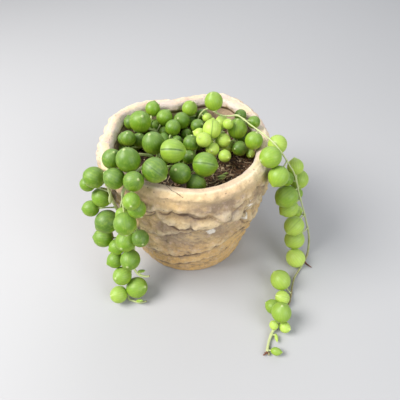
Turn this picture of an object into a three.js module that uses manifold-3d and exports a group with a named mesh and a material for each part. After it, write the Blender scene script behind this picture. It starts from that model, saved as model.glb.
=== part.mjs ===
// A string of pearls, a trailing succulent with round leaves, growing in a hand-built ceramic pot.
// Millimetres, +Z up. The origin is the middle of the pot's foot, on the surface that it stands on.
// The side of the pot that faces a viewer is -Y: two groups of stems hang over it at -X, one at +X.

import * as THREE from 'three';
import { mergeVertices } from 'three/addons/utils/BufferGeometryUtils.js';
import Module from 'manifold-3d';

const wasm = await Module();
wasm.setup();

// The pot: its outside bulges from a narrow foot to a wide mouth that is not quite round.
const POT = {
  height: 65,
  footRadius: 29.2,
  bulge: 1.6,
  lean: -0.7,
  wall: 5.3,
  floor: 7,
  floorRound: 4,
  footRound: 0.9,
  columns: 48,
  rowStep: 3,
};

// Heights of the rows inside the pot, from under the rim down to where the floor rounds up.
const INSIDE_ROWS = [54, 40, 25, 14];
const INSIDE_LOW = { height: 9, in: 1.2 };

// Radius of the mouth's outer edge, as [degrees from +X, radius].
const MOUTH = [
  [-165, 38.5], [-135, 37.3], [-105, 35.5], [-75, 37.5], [-45, 38], [-15, 38], [15, 37.2],
  [40, 39], [60, 40.6], [80, 36.5], [100, 32.4], [120, 34.5], [145, 39.5], [170, 37.9],
];

// The thick rounded rim, from outside over the top to inside, as [distance from the mouth's edge, height].
const RIM = [
  [0.2, 62.2], [-0.4, 63.6], [-1.5, 64.6], [-2.8, 65], [-4.2, 64.9], [-5.4, 64.1],
  [-6.2, 62.6], [-6.3, 61], [-5.6, 59.6],
];

// The clay outside hangs in overlapping folds. Each fold stands proud at its lower edge and fades
// upwards. Its edge is given as [degrees, height, how far it sags before the next point].
const FOLDS = [
  {
    proud: 0.9,
    fade: 9,
    edge: [
      [-180, 59, 0.5], [-140, 60, 0.5], [-112, 60.5, 1], [-88, 59.5, 0.5], [-58, 58.5, 0.5],
      [-30, 60, 0.6], [0, 59, 0.5], [40, 60, 0.6], [80, 59, 0.5], [130, 60, 0.6],
    ],
  },
  {
    proud: 1.4,
    fade: 9,
    edge: [
      [-180, 56, 3], [-158, 58, 3.5], [-138, 57, 3.5], [-118, 59, 4.5], [-101, 57.5, 1.8],
      [-87, 57, 4], [-76, 55, 5], [-56, 54, 3.5], [-40, 56, 3.5], [-22, 58, 4], [-4, 56, 3.5],
      [14, 58, 4], [32, 56, 3.5], [50, 59, 4], [69, 56, 3.5], [88, 57, 4], [106, 55, 3.5],
      [124, 57, 4], [142, 58, 3.5], [161, 57, 4],
    ],
  },
  {
    proud: 1.6,
    fade: 10,
    edge: [
      [-180, 46, 3], [-160, 47, 3], [-141, 46, 4], [-124, 48, 4], [-108, 52, 4.5], [-89, 47, 3],
      [-66, 47, 3], [-48, 44, 3], [-32, 47, 4], [-14, 45, 3], [6, 47, 4], [24, 45, 3.5],
      [43, 47, 4], [61, 45, 3.5], [80, 48, 4], [100, 46, 3.5], [118, 47, 4], [136, 45, 3.5],
      [157, 48, 4],
    ],
  },
  {
    proud: 1.4,
    fade: 9,
    edge: [
      [-180, 35, 2.5], [-160, 34, 2], [-140, 36, 2.5], [-122, 36, 2], [-94, 42, 2], [-84, 41, 2],
      [-62, 37, 3], [-44, 35, 3], [-24, 37, 3], [-2, 34, 2.5], [20, 36, 3], [44, 34, 3],
      [66, 37, 3], [88, 35, 3], [110, 36, 3], [134, 34, 3], [158, 36, 3],
    ],
  },
  {
    proud: 1.5,
    fade: 12,
    edge: [
      [-180, 15, 1], [-160, 13, 1], [-128, 12.5, 0], [-116, 17, 3], [-100, 17, -1], [-74, 20.5, 0],
      [-61, 23.8, 0], [-49, 29, 0], [-36, 26, 1], [-15, 23, 1], [10, 25, 1.5], [36, 21, 1],
      [60, 24, 1.5], [88, 19, 1], [115, 22, 1.5], [148, 17, 1],
    ],
  },
  {
    proud: 0.9,
    fade: 9,
    edge: [
      [-180, 6, 0], [-120, 5, 0], [-84, 10.5, 0], [-66, 12.4, 0], [-52, 13, 0], [-40, 15.8, 0],
      [-20, 13, 1], [10, 14, 1], [40, 10, 1], [75, 12, 1], [110, 8, 1], [145, 9, 1],
    ],
  },
];
const FOLD_STEP = 1.2;
const FOLDS_FREE_OF_FOOT = 4;
const FOLDS_END = 63;
const FOLDS_BLEND = 3;

// The soil fills the pot to some way under the rim.
const SOIL = { top: 51.6, crown: 0.6, crownFrom: 0.6, gap: 0.35, columns: 30 };

// A stem stands in a hole that is this much wider and deeper than the stem.
const HOLE = { gap: 0.55, deeper: 0.35, sides: 6, step: 5, bends: [5, 10] };

// The plant: stems, the stalk of each pearl, and the room that everything keeps.
const STEM = { radius: 0.8, sides: 5, step: 4.6 };
const STALK = { radius: 0.55, sides: 4, sunk: 0.45, rooted: 0.4 };
const PEARL = { around: 7, down: 5, smallBelow: 7.2, tip: 0.3, youngBelow: 5, youngStretch: 0.1 };
const ROOM = { own: 0.15, ownStem: 0.2, other: 0.4, floor: 0.1 };
const SETTLING = {
  passes: 200,
  homing: 120,
  pull: 0.03,
  share: 0.6,
  stalkShare: 0.7,
  soilRadius: 33,
  soilFrom: 40,
};
const HIDDEN = { seed: 7, hours: [5, 7.5], widths: [5.5, 7.5], reach: 1, gives: 4 };

// Hours round a stem are read from the front and above, where the clock's twelve points.
const TWELVE = new THREE.Vector3(0, -0.67, 0.742).normalize();

// Each strand is one stem with its pearls. The stem's route is a list of points. A pearl is
// [distance along the stem, hour round it, width, length of stalk]. Hidden pearls, as
// [how many, first distance, last distance], sit behind and yield to the others.
const STRANDS = [
  {
    name: 'trail_right',
    route: [
      [4, 21, 46], [4, 20.5, 56], [6, 18.5, 64], [9.6, 15.8, 68.5], [14.7, 9.4, 69.5],
      [18.7, 7.2, 70.5], [22.5, 6.5, 71], [27, -1.5, 72], [31.3, -7.4, 72], [35.5, -12.5, 71],
      [39, -16, 68], [42, -17.5, 64], [45.7, -16, 57.5], [49, -14, 49], [51.5, -12.5, 42],
      [57, -12.5, 28], [62.5, -12, 13], [64, -14.5, 6.5], [63, -20, 2.2], [60, -25, 1.2],
      [56.5, -30, 1.2], [53, -35.5, 1.2], [49, -47, 1.2], [45, -54, 1.3], [41, -59, 1.8],
      [38.5, -62, 1.5], [36.5, -66, 1.2], [35, -71, 1.1],
    ],
    pearls: [
      [31, 0.5, 8, 2], [41.1, 5.5, 5.5, 5], [46, 4.8, 5.6, 2.5], [56, 7.5, 7.5, 0.5], [65, 6, 8, 1],
      [70.5, 9.5, 8.6, 0.5], [74.5, 9, 8.5, 2.1], [91, 7.3, 6.6, 0.2], [97.7, 4.7, 9, 0.2],
      [97, 9, 10.3, 0.2], [106, 9.1, 8.8, 1.6], [118.3, 9.6, 9.6, 2.5], [130.5, 9.6, 10, 4],
      [155, 9.6, 9.6, 0.5], [172.7, 9.7, 9.8, 1.3], [176.5, 9.3, 6.8, 1.4], [18, 8.2, 4.6, 0.5],
      [184, 9, 6.8, 1.6], [189, 10.5, 9.1, 1.8], [191, 1, 5, 0.5], [193.5, 10.5, 4.3, 0.3],
      [197, 2, 2.5, 0.5], [204, 2, 4, 1],
    ],
    hidden: [3, 88, 125],
    airRoot: [151.5, 3, 3.4],
  },
  {
    name: 'trail_left_long',
    route: [
      [-15, -2, 46], [-15.5, -4, 56], [-20, -10, 63], [-26, -15, 66.4], [-29, -19, 66.4],
      [-30.5, -22.5, 66.2], [-31.3, -25.2, 63.5], [-31.3, -26, 57.5], [-31.2, -25.2, 50],
      [-30.7, -24.3, 44], [-30.2, -24.3, 38], [-31, -27, 30], [-30, -31, 21], [-28, -34.5, 13],
      [-29.5, -38.5, 7], [-30, -42.5, 2.4], [-29, -45.5, 1.2], [-26.3, -46.6, 1.2],
      [-23, -47.2, 1.3], [-20.3, -46.8, 1.6],
    ],
    pearls: [
      [36.8, 0.2, 7.8, 0.3], [43.8, 7.5, 8.6, 0], [48.5, 8.2, 6.2, 6.5], [57, 7.4, 8.6, 0.1],
      [60.5, 8.8, 7.2, 5], [65, 9.6, 10.5, 0], [79, 9.6, 9.1, 0.3], [88, 9.8, 7.6, 0.9],
      [98.5, 11.25, 8.7, 0.5], [109, 10.6, 8.1, 0.1], [106.7, 1.85, 9.9, 0], [117.5, 2.5, 2.6, 0.3],
    ],
    hidden: [0, 0, 0],
  },
  {
    name: 'trail_left_front',
    route: [
      [-8, -9, 46], [-9, -11, 56], [-13.5, -16.5, 63.5], [-17.5, -22, 66.4], [-20.3, -27, 66.3],
      [-22, -30.5, 66.1], [-24, -32, 63], [-25, -31.3, 57.5], [-26.8, -29.3, 52],
      [-27.6, -28, 46.5], [-26.8, -27.8, 40], [-25.3, -27.8, 32], [-25.5, -30, 24],
      [-26, -33, 18.5], [-26.3, -35.8, 15.5], [-24, -38.6, 13.5], [-20.8, -39.8, 13],
      [-18.3, -39.8, 13.2],
    ],
    pearls: [
      [33, 11.1, 9.2, 2.3], [38.7, 9.6, 8, 0], [38, 1.8, 7.6, 0.3], [49, 1.7, 9, 1.6],
      [73.7, 11.3, 9.2, 1.3], [79, 9.3, 7.3, 1.5], [85, 11.5, 9.2, 1], [98.5, 2.3, 2.6, 0.1],
    ],
    hidden: [0, 0, 0],
  },
  {
    name: 'trail_left_inner',
    route: [
      [0, -11, 46], [-1, -12, 56], [-5, -17, 62.5], [-9, -21.5, 65.8], [-13.5, -26, 66.4],
      [-18, -30, 66.5], [-20.5, -33.8, 63], [-21, -33.6, 57], [-22.3, -32.2, 50],
      [-22.5, -31, 43], [-22, -30.8, 36.5],
    ],
    pearls: [
      [33.7, 12, 9.4, 0.5], [43.3, 0.7, 6.5, 0.5], [46.6, 0.8, 7, 0.3], [70.4, 0, 7.5, 0.5],
      [55, 9, 5.5, 0.3],
    ],
    hidden: [0, 0, 0],
  },
  {
    name: 'crown_back_left',
    route: [
      [-12, 13, 46], [-12, 13, 53], [-14, 12.5, 57], [-18, 13, 59], [-22, 14, 59.5], [-26, 11, 59],
    ],
    pearls: [
      [17.3, 9, 7, 4.6], [13.3, 9, 7.7, 1.4], [23, 11.9, 9.8, 1.8], [25, 9.4, 6.5, 1.2],
      [14.5, 7.3, 6.3, 0.4],
    ],
    hidden: [3, 6, 20],
  },
  {
    name: 'crown_left',
    route: [[-17, 3, 46], [-18, 3, 53], [-21, 3, 56.5], [-25, 2, 57], [-28, -1, 57]],
    pearls: [[18.2, 11.15, 6.7, 2.2], [20, 9.8, 5.6, 2.6], [13.8, 11, 6.2, 0.8]],
    hidden: [3, 6, 22],
  },
  {
    name: 'crown_middle',
    route: [[-9, 4, 46], [-9, 3, 53], [-11, 0, 58], [-13, -4, 60], [-12, -9, 60]],
    pearls: [[21, 12, 9.5, 1.5], [11, 8.7, 7.1, 2.8], [9, 7, 5, 7], [11, 8.5, 5.5, 3]],
    hidden: [4, 6, 22],
  },
  {
    name: 'crown_back',
    route: [[1, 13, 46], [0, 14, 52], [-1, 17, 56], [-1, 21, 59], [-2, 24, 60]],
    pearls: [
      [14, 0.5, 7.9, 1], [17.5, 11.35, 7.3, 0.7], [11, 10.7, 6.5, 4.5], [9, 0, 5.8, 1],
      [17, 8.5, 6, 3],
    ],
    hidden: [3, 6, 20],
  },
  {
    name: 'crown_centre',
    route: [[3, 3, 46], [3, 2, 52], [2, 0, 55.5], [0, -4, 56.5], [-2, -8, 56]],
    pearls: [[13, 11.3, 7.1, 1.8], [11, 8.5, 4.5, 5.5], [17.5, 0.5, 6, 0.2]],
    hidden: [3, 5, 16],
  },
  {
    name: 'crown_front',
    route: [[2, -15, 46], [2, -15, 53], [1, -16, 57.5], [0, -18, 59], [-0.5, -20, 59]],
    pearls: [[15, 10.6, 9.9, 6], [17, 10.2, 8.6, 1.5], [15, 1.45, 9.9, 2.2], [17, 2.1, 8, 0.2]],
    hidden: [0, 0, 0],
  },
  {
    name: 'crown_young',
    route: [[13, 2, 46], [13, 1, 52], [12, 0, 56.5], [12.5, 3, 60], [15, 7.5, 61], [17, 8, 61]],
    pearls: [
      [16.2, 1.7, 8.2, 1.5], [16, 2, 5.5, 3], [13.3, 0.8, 6.5, 4.5], [13.15, 0.6, 6, 3.5],
      [22, 3, 6.3, 0.5], [16, 10.2, 6.4, 0.2], [11, 11, 5.5, 5], [20, 11.8, 4.7, 6],
    ],
    hidden: [2, 9, 15],
  },
  {
    name: 'crown_right',
    route: [[20, 10, 46], [20, 10, 52], [21.5, 8.5, 55.5], [24.5, 5.5, 56], [29, 2.9, 55]],
    pearls: [[12.5, 1, 9.1, 2.7], [18.2, 10.95, 6.8, 0.5], [20.3, 11, 4.4, 1]],
    hidden: [2, 8, 17],
  },
];

const PAINT = {
  pot: { color: 0xcdb083, roughness: 0.35 },
  soil: { color: 0x2a1d15, roughness: 0.95 },
  pearl: { color: 0x5f8f2f, roughness: 0.35 },
  young: { color: 0xa9cc4e, roughness: 0.35 },
};

const clamp = THREE.MathUtils.clamp;
const radians = THREE.MathUtils.degToRad;

// Angle turned so that it follows the first angle of a list by less than a whole turn.
function turnedOn(list, degrees) {
  return list[0][0] + THREE.MathUtils.euclideanModulo(degrees - list[0][0], 360);
}

// A point of a list that runs round the pot, for any whole number.
function roundTheList(list, i) {
  const turns = Math.floor(i / list.length);
  const [degrees, ...rest] = list[i - turns * list.length];
  return [degrees + 360 * turns, ...rest];
}

function listIndex(list, degrees) {
  let i = 0;
  while (roundTheList(list, i + 1)[0] <= degrees) {
    i += 1;
  }
  return i;
}

// Smooth closed curve of radius through the mouth's points.
function mouthRadius(degrees) {
  const angle = turnedOn(MOUTH, degrees);
  const i = listIndex(MOUTH, angle);
  const nearby = [i - 1, i, i + 1, i + 2].map((k) => roundTheList(MOUTH, k));
  const [[a0, r0], [a1, r1], [a2, r2], [a3, r3]] = nearby;
  const span = a2 - a1;
  const t = (angle - a1) / span;
  const slope1 = ((r2 - r0) / (a2 - a0)) * span;
  const slope2 = ((r3 - r1) / (a3 - a1)) * span;
  const square = 3 * (r2 - r1) - 2 * slope1 - slope2;
  const cube = 2 * (r1 - r2) + slope1 + slope2;
  return r1 + t * (slope1 + t * (square + t * cube));
}

// Radius of the outside without its folds.
function wallRadius(degrees, height) {
  const rise = 1 - (1 - clamp(height / POT.height, 0, 1)) ** POT.bulge;
  return POT.footRadius + (mouthRadius(degrees) - POT.footRadius) * rise;
}

// Height of a fold's lower edge.
function edgeHeight(edge, degrees) {
  const angle = turnedOn(edge, degrees);
  const i = listIndex(edge, angle);
  const [a1, z1, sag] = roundTheList(edge, i);
  const [a2, z2] = roundTheList(edge, i + 1);
  const t = (angle - a1) / (a2 - a1);
  return z1 + (z2 - z1) * t - 4 * sag * t * (1 - t);
}

// How far the folds stand out of the wall.
function foldDepth(degrees, height) {
  let depth = 0;
  for (const { proud, fade, edge } of FOLDS) {
    const above = height - edgeHeight(edge, degrees);
    if (above > -FOLD_STEP && above < fade) {
      depth += proud * Math.min(1, (above + FOLD_STEP) / FOLD_STEP) * (1 - Math.max(above, 0) / fade);
    }
  }
  const low = clamp(height / FOLDS_FREE_OF_FOOT, 0, 1);
  const high = clamp((FOLDS_END - height) / FOLDS_BLEND, 0, 1);
  return depth * low * high;
}

function outerRadius(degrees, height) {
  return wallRadius(degrees, height) + foldDepth(degrees, height);
}

function innerRadius(degrees, height) {
  return wallRadius(degrees, height) - POT.wall;
}

// The pot leans a little as it rises.
function middleAt(height) {
  return (POT.lean * height) / POT.height;
}

function everyStep(from, below, step) {
  return Array.from({ length: Math.ceil((below - from) / step) }, (_, i) => from + i * step);
}

// Half sections through the pot, from the axis under the foot round to the axis over the floor.
function potSection(degrees) {
  const edge = mouthRadius(degrees);
  return [
    [0, 0],
    [POT.footRadius - POT.footRound, 0],
    [POT.footRadius, POT.footRound],
    ...everyStep(POT.rowStep, POT.height - POT.rowStep, POT.rowStep).map((z) => [outerRadius(degrees, z), z]),
    ...RIM.map(([out, z]) => [edge + out, z]),
    ...INSIDE_ROWS.map((z) => [innerRadius(degrees, z), z]),
    [innerRadius(degrees, INSIDE_LOW.height) - INSIDE_LOW.in, INSIDE_LOW.height],
    [innerRadius(degrees, POT.floor) - POT.floorRound, POT.floor],
    [0, POT.floor],
  ];
}

// The soil's half section keeps off the pot's inside.
function soilSection(degrees) {
  const { gap, top, crown, crownFrom } = SOIL;
  return [
    [0, POT.floor + gap],
    [innerRadius(degrees, POT.floor) - POT.floorRound - gap, POT.floor + gap],
    [innerRadius(degrees, INSIDE_LOW.height) - INSIDE_LOW.in - gap, INSIDE_LOW.height + gap],
    ...INSIDE_ROWS.slice(1).reverse().map((z) => [innerRadius(degrees, z) - gap, z]),
    [innerRadius(degrees, top) - gap, top],
    [innerRadius(degrees, top) * crownFrom, top + crown * crownFrom],
    [0, top + crown],
  ];
}

// Mesh helpers: welding, facing outwards and changing to and from solids for cutting and joining.
function welded(geometry) {
  geometry.deleteAttribute('normal');
  geometry.deleteAttribute('uv');
  const merged = mergeVertices(geometry, 1e-5);
  const corners = merged.index.array;
  const kept = [];
  for (let i = 0; i < corners.length; i += 3) {
    const [a, b, c] = [corners[i], corners[i + 1], corners[i + 2]];
    if (a !== b && b !== c && c !== a) {
      kept.push(a, b, c);
    }
  }
  merged.setIndex(kept);
  return facingOut(merged);
}

function facingOut(geometry) {
  const place = geometry.attributes.position;
  const index = geometry.index.array;
  const [a, b, c] = [new THREE.Vector3(), new THREE.Vector3(), new THREE.Vector3()];
  let volume = 0;
  for (let i = 0; i < index.length; i += 3) {
    a.fromBufferAttribute(place, index[i]);
    b.fromBufferAttribute(place, index[i + 1]);
    c.fromBufferAttribute(place, index[i + 2]);
    volume += a.dot(b.cross(c));
  }
  if (volume < 0) {
    for (let i = 0; i < index.length; i += 3) {
      [index[i], index[i + 1]] = [index[i + 1], index[i]];
    }
  }
  return geometry;
}

function solidOf(geometry) {
  const closed = welded(geometry);
  return new wasm.Manifold(new wasm.Mesh({
    numProp: 3,
    vertProperties: new Float32Array(closed.attributes.position.array),
    triVerts: new Uint32Array(closed.index.array),
  }));
}

function geometryOf(solid) {
  const mesh = solid.getMesh();
  const geometry = new THREE.BufferGeometry();
  geometry.setAttribute('position', new THREE.BufferAttribute(new Float32Array(mesh.vertProperties), 3));
  geometry.setIndex(new THREE.BufferAttribute(new Uint32Array(mesh.triVerts), 1));
  return geometry;
}

// A lathe turning whose half section changes with the angle.
function turning(section, columns) {
  const geometry = new THREE.LatheGeometry(section(0).map(([r, z]) => new THREE.Vector2(r, z)), columns);
  const place = geometry.attributes.position;
  for (let i = 0; i <= columns; i += 1) {
    const degrees = (360 * (i % columns)) / columns - 180;
    const points = section(degrees);
    points.forEach(([r, z], j) => {
      const x = r * Math.cos(radians(degrees)) + middleAt(z);
      const y = r * Math.sin(radians(degrees));
      place.setXYZ(i * points.length + j, x, y, z);
    });
  }
  return geometry;
}

// A round bar along a list of points.
function bar(points, radius, sides, step) {
  const path = new THREE.CatmullRomCurve3(points, false, 'catmullrom', 0.5);
  const ring = Array.from({ length: sides }, (_, i) => {
    const angle = (2 * Math.PI * i) / sides;
    return new THREE.Vector2(radius * Math.cos(angle), radius * Math.sin(angle));
  });
  return new THREE.ExtrudeGeometry(new THREE.Shape(ring), {
    steps: Math.max(1, Math.round(path.getLength() / step)),
    bevelEnabled: false,
    extrudePath: path,
  });
}

// A stem as a line of short straight pieces, with the distance at each joint.
function stemLine(route) {
  const points = route.map((p) => new THREE.Vector3(...p));
  const path = new THREE.CatmullRomCurve3(points, false, 'catmullrom', 0.5);
  const line = path.getPoints((route.length - 1) * 6);
  const distance = [0];
  for (let i = 1; i < line.length; i += 1) {
    distance.push(distance[i - 1] + line[i].distanceTo(line[i - 1]));
  }
  return { points, line, distance };
}

function placeAlong({ line, distance }, at) {
  const goal = clamp(at, 0, distance.at(-1));
  let i = 0;
  while (i < line.length - 2 && distance[i + 1] <= goal) {
    i += 1;
  }
  const t = (goal - distance[i]) / (distance[i + 1] - distance[i]);
  const heading = line[i + 1].clone().sub(line[i]).normalize();
  return { point: line[i].clone().lerp(line[i + 1], t), heading };
}

// The direction that an hour points in, square to a stem's heading.
function hourDirection(heading, hour) {
  const twelve = TWELVE.clone().addScaledVector(heading, -TWELVE.dot(heading)).normalize();
  return twelve.applyAxisAngle(heading, -radians(hour * 30));
}

// A small seeded source of even numbers between two limits.
function seededDraw(seed) {
  let state = seed;
  return (low, high) => {
    state = (state * 16807) % 2147483647;
    return low + ((high - low) * state) / 2147483647;
  };
}

// Every pearl at its first place.
function firstPearls(lines) {
  const draw = seededDraw(HIDDEN.seed);
  const pearls = [];
  STRANDS.forEach(({ pearls: seen, hidden: [count, first, last] }, strand) => {
    const add = (at, hour, width, reach, gives) => {
      const { point, heading } = placeAlong(lines[strand], at);
      const out = width / 2 + STEM.radius + reach;
      const home = point.clone().addScaledVector(hourDirection(heading, hour), out);
      pearls.push({ strand, root: point, home, centre: home.clone(), radius: width / 2, gives });
    };
    seen.forEach(([at, hour, width, reach]) => add(at, hour, width, reach, 1));
    for (let i = 0; i < count; i += 1) {
      const at = first + ((last - first) * (i + 0.5)) / count;
      add(at, draw(...HIDDEN.hours), draw(...HIDDEN.widths), HIDDEN.reach, HIDDEN.gives);
    }
  });
  return pearls;
}

function nearestOn(a, b, point) {
  const along = b.clone().sub(a);
  const t = clamp(point.clone().sub(a).dot(along) / Math.max(along.lengthSq(), 1e-9), 0, 1);
  return a.clone().addScaledVector(along, t);
}

// Half sections of the wall that pearls rest against, as [radius, height, 0] points.
const REST = { degreeStep: 2, insideRows: [57, 54, 51, 48] };
const WALL_SECTIONS = everyStep(-180, 180, REST.degreeStep).map((degrees) => [
  ...everyStep(0, POT.height - POT.rowStep, POT.rowStep).map((z) => [outerRadius(degrees, z), z]),
  ...RIM.map(([out, z]) => [mouthRadius(degrees) + out, z]),
  ...REST.insideRows.map((z) => [innerRadius(degrees, z), z]),
].map(([r, z]) => new THREE.Vector3(r, z, 0)));

// Pushes on one pearl: from other pearls, stems, stalks, the pot, the soil and the floor.
function pushOnPearl(pearl, pearls, lines) {
  const { centre, radius, strand } = pearl;
  const push = new THREE.Vector3();
  for (const other of pearls) {
    if (other !== pearl) {
      const away = centre.clone().sub(other.centre);
      const need = radius + other.radius + (other.strand === strand ? ROOM.own : ROOM.other);
      const over = need - away.length();
      if (over > 0) {
        push.addScaledVector(away.normalize(), (over * pearl.gives) / (pearl.gives + other.gives));
      }
      const fromStalk = centre.clone().sub(nearestOn(other.root, other.centre, centre));
      const tight = radius + STALK.radius + ROOM.other - fromStalk.length();
      if (other.strand !== strand && tight > 0) {
        push.addScaledVector(fromStalk.normalize(), tight * SETTLING.stalkShare);
      }
    }
  }
  push.add(pushFromStems(pearl, lines));
  push.add(pushFromPot(pearl));
  push.z += Math.max(radius + ROOM.floor - centre.z, 0);
  return push;
}

function pushFromStems({ centre, radius, strand }, lines) {
  let worst = 0;
  const push = new THREE.Vector3();
  lines.forEach(({ line }, k) => {
    const need = radius + STEM.radius + (k === strand ? ROOM.ownStem : ROOM.other);
    for (let i = 0; i + 1 < line.length; i += 1) {
      const away = centre.clone().sub(nearestOn(line[i], line[i + 1], centre));
      const over = need - away.length();
      if (over > worst) {
        worst = over;
        push.copy(away.normalize()).multiplyScalar(over);
      }
    }
  });
  return push;
}

function pushFromPot({ centre, radius }) {
  const middle = middleAt(centre.z);
  const out = Math.hypot(centre.x - middle, centre.y);
  const degrees = THREE.MathUtils.radToDeg(Math.atan2(centre.y, centre.x - middle));
  const section = WALL_SECTIONS[Math.round((degrees + 180) / REST.degreeStep) % WALL_SECTIONS.length];
  const here = new THREE.Vector3(out, centre.z, 0);
  let closest = Infinity;
  const away = new THREE.Vector3();
  for (let i = 0; i + 1 < section.length; i += 1) {
    const off = here.clone().sub(nearestOn(section[i], section[i + 1], here));
    if (off.length() < closest) {
      closest = off.length();
      away.copy(off);
    }
  }
  away.normalize().multiplyScalar(Math.max(radius + ROOM.other - closest, 0));
  const push = new THREE.Vector3(((centre.x - middle) / out) * away.x, (centre.y / out) * away.x, away.y);
  if (out < SETTLING.soilRadius && centre.z > SETTLING.soilFrom) {
    push.z += Math.max(SOIL.top + SOIL.crown + radius + ROOM.other - centre.z, 0);
  }
  return push;
}

// Pearls settle, a little at a time, until none presses on another, a stem or the pot.
function settledPearls(lines) {
  const pearls = firstPearls(lines);
  for (let pass = 0; pass < SETTLING.passes; pass += 1) {
    const pushes = pearls.map((pearl) => pushOnPearl(pearl, pearls, lines));
    pearls.forEach((pearl, i) => {
      const homing = pearl.home.clone().sub(pearl.centre);
      pearl.centre.addScaledVector(pushes[i], SETTLING.share);
      if (pass < SETTLING.homing) {
        pearl.centre.addScaledVector(homing, SETTLING.pull);
      }
    });
  }
  return pearls;
}

// A pearl: round, with a small point opposite its stalk; the youngest are longer than wide.
function pearlGeometry({ root, centre, radius }) {
  const fewer = 2 * radius < PEARL.smallBelow ? 1 : 0;
  const geometry = new THREE.SphereGeometry(radius, PEARL.around - fewer, PEARL.down - fewer);
  const stretch = 1 + PEARL.youngStretch * Math.max(0, PEARL.youngBelow - 2 * radius);
  geometry.scale(1, stretch, 1);
  const place = geometry.attributes.position;
  for (let i = 0; i < place.count; i += 1) {
    if (place.getY(i) > radius * stretch - 1e-4) {
      place.setY(i, radius * stretch + PEARL.tip);
    }
  }
  const outward = centre.clone().sub(root).normalize();
  geometry.applyQuaternion(new THREE.Quaternion().setFromUnitVectors(new THREE.Vector3(0, 1, 0), outward));
  geometry.translate(centre.x, centre.y, centre.z);
  return geometry;
}

function straightBar(start, end) {
  return bar([start, end], STALK.radius, STALK.sides, start.distanceTo(end));
}

function stalkGeometry({ root, centre, radius }) {
  const outward = centre.clone().sub(root).normalize();
  const start = root.clone().addScaledVector(outward, -STALK.rooted);
  const end = centre.clone().addScaledVector(outward, -radius * STALK.sunk);
  return straightBar(start, end);
}

// The dry little root that leaves the right trail where it meets the table, as
// [distance along the stem, hour round it, length].
function airRootGeometry(line, [at, hour, length]) {
  const { point, heading } = placeAlong(line, at);
  const tip = point.clone().addScaledVector(hourDirection(heading, hour), length);
  tip.z = Math.max(tip.z, 2 * STALK.radius);
  return straightBar(point, tip);
}

function strandSolid({ airRoot }, line, pearls) {
  let solid = solidOf(bar(line.points, STEM.radius, STEM.sides, STEM.step));
  for (const pearl of pearls) {
    solid = solid.add(solidOf(stalkGeometry(pearl)));
    solid = solid.add(solidOf(pearlGeometry(pearl)));
  }
  return airRoot ? solid.add(solidOf(airRootGeometry(line, airRoot))) : solid;
}

// A plain hole for a stem, from just under its end to just above the soil.
function stemHole(line) {
  const foot = line.points[0].clone();
  foot.z -= HOLE.deeper;
  const points = [foot, ...HOLE.bends.map((at) => placeAlong(line, at).point)];
  return solidOf(bar(points, STEM.radius + HOLE.gap, HOLE.sides, HOLE.step));
}

function named(name, geometry, { color, roughness }) {
  const mesh = new THREE.Mesh(geometry, new THREE.MeshStandardMaterial({ color, roughness, metalness: 0 }));
  mesh.name = name;
  return mesh;
}

function buildPlantInPot() {
  const group = new THREE.Group();
  const lines = STRANDS.map(({ route }) => stemLine(route));
  const pearls = settledPearls(lines);
  let soil = solidOf(turning(soilSection, SOIL.columns));
  for (const line of lines) {
    soil = soil.subtract(stemHole(line));
  }
  group.add(named('pot', welded(turning(potSection, POT.columns)), PAINT.pot));
  group.add(named('soil', geometryOf(soil), PAINT.soil));
  STRANDS.forEach((strand, k) => {
    const own = pearls.filter((pearl) => pearl.strand === k);
    const paint = strand.name === 'crown_young' ? PAINT.young : PAINT.pearl;
    group.add(named(strand.name, geometryOf(strandSolid(strand, lines[k], own)), paint));
  });
  return group;
}

export default buildPlantInPot();
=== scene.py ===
"""A string of pearls in a hand-built clay pot: the looks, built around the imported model.

Lengths in the tables below are millimetres. They become metres where meshes are made.
"""

import math

import bpy
import numpy as np
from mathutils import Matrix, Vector, noise


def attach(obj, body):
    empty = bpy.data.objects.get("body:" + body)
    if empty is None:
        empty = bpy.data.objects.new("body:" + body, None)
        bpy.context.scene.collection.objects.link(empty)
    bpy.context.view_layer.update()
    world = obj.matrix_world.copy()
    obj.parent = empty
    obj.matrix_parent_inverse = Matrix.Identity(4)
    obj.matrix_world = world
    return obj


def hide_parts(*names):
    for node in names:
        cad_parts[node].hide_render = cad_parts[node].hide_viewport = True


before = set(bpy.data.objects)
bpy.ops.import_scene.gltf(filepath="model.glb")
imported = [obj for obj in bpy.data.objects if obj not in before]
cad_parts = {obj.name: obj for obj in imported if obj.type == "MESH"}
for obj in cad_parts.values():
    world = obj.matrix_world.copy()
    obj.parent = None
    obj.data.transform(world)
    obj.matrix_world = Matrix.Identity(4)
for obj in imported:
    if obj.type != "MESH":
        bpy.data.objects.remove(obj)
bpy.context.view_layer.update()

bl_info = {
    "name": "Potted string of pearls",
    "version": (1, 0, 0),
    "blender": (4, 5, 0),
    "location": "View3D > Sidebar > Pearls",
    "description": "Builds a trailing succulent with round leaves in a hand-built clay pot",
    "category": "Add Mesh",
}

MM = 0.001

# The pot's main sizes. BULGE is the power of the wall's curve, and LEAN is how far the middle of
# the mouth is from the middle of the foot along X.
HEIGHT = 65
FOOT_RADIUS = 29.2
FOOT_ROUND = 0.9
BULGE = 1.6
LEAN = -0.7
WALL = 5.3
FLOOR = 7
SOIL_TOP = 51.6
SOIL_CROWN = 0.6

# Radius of the mouth's outer edge, as (degrees from +X, radius).
MOUTH = (
    (-165, 38.5), (-135, 37.3), (-105, 35.5), (-75, 37.5), (-45, 38), (-15, 38), (15, 37.2),
    (40, 39), (60, 40.6), (80, 36.5), (100, 32.4), (120, 34.5), (145, 39.5), (170, 37.9),
)

# The rounded rim from outside over the top to inside, as (distance from the mouth's edge, height).
RIM = (
    (0.2, 62.2), (0.05, 63.3), (-0.8, 64.2), (-2.3, 64.8), (-3.9, 65), (-5.2, 64.5),
    (-6.1, 63), (-6.3, 61.2), (-5.3, 59.8),
)

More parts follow.
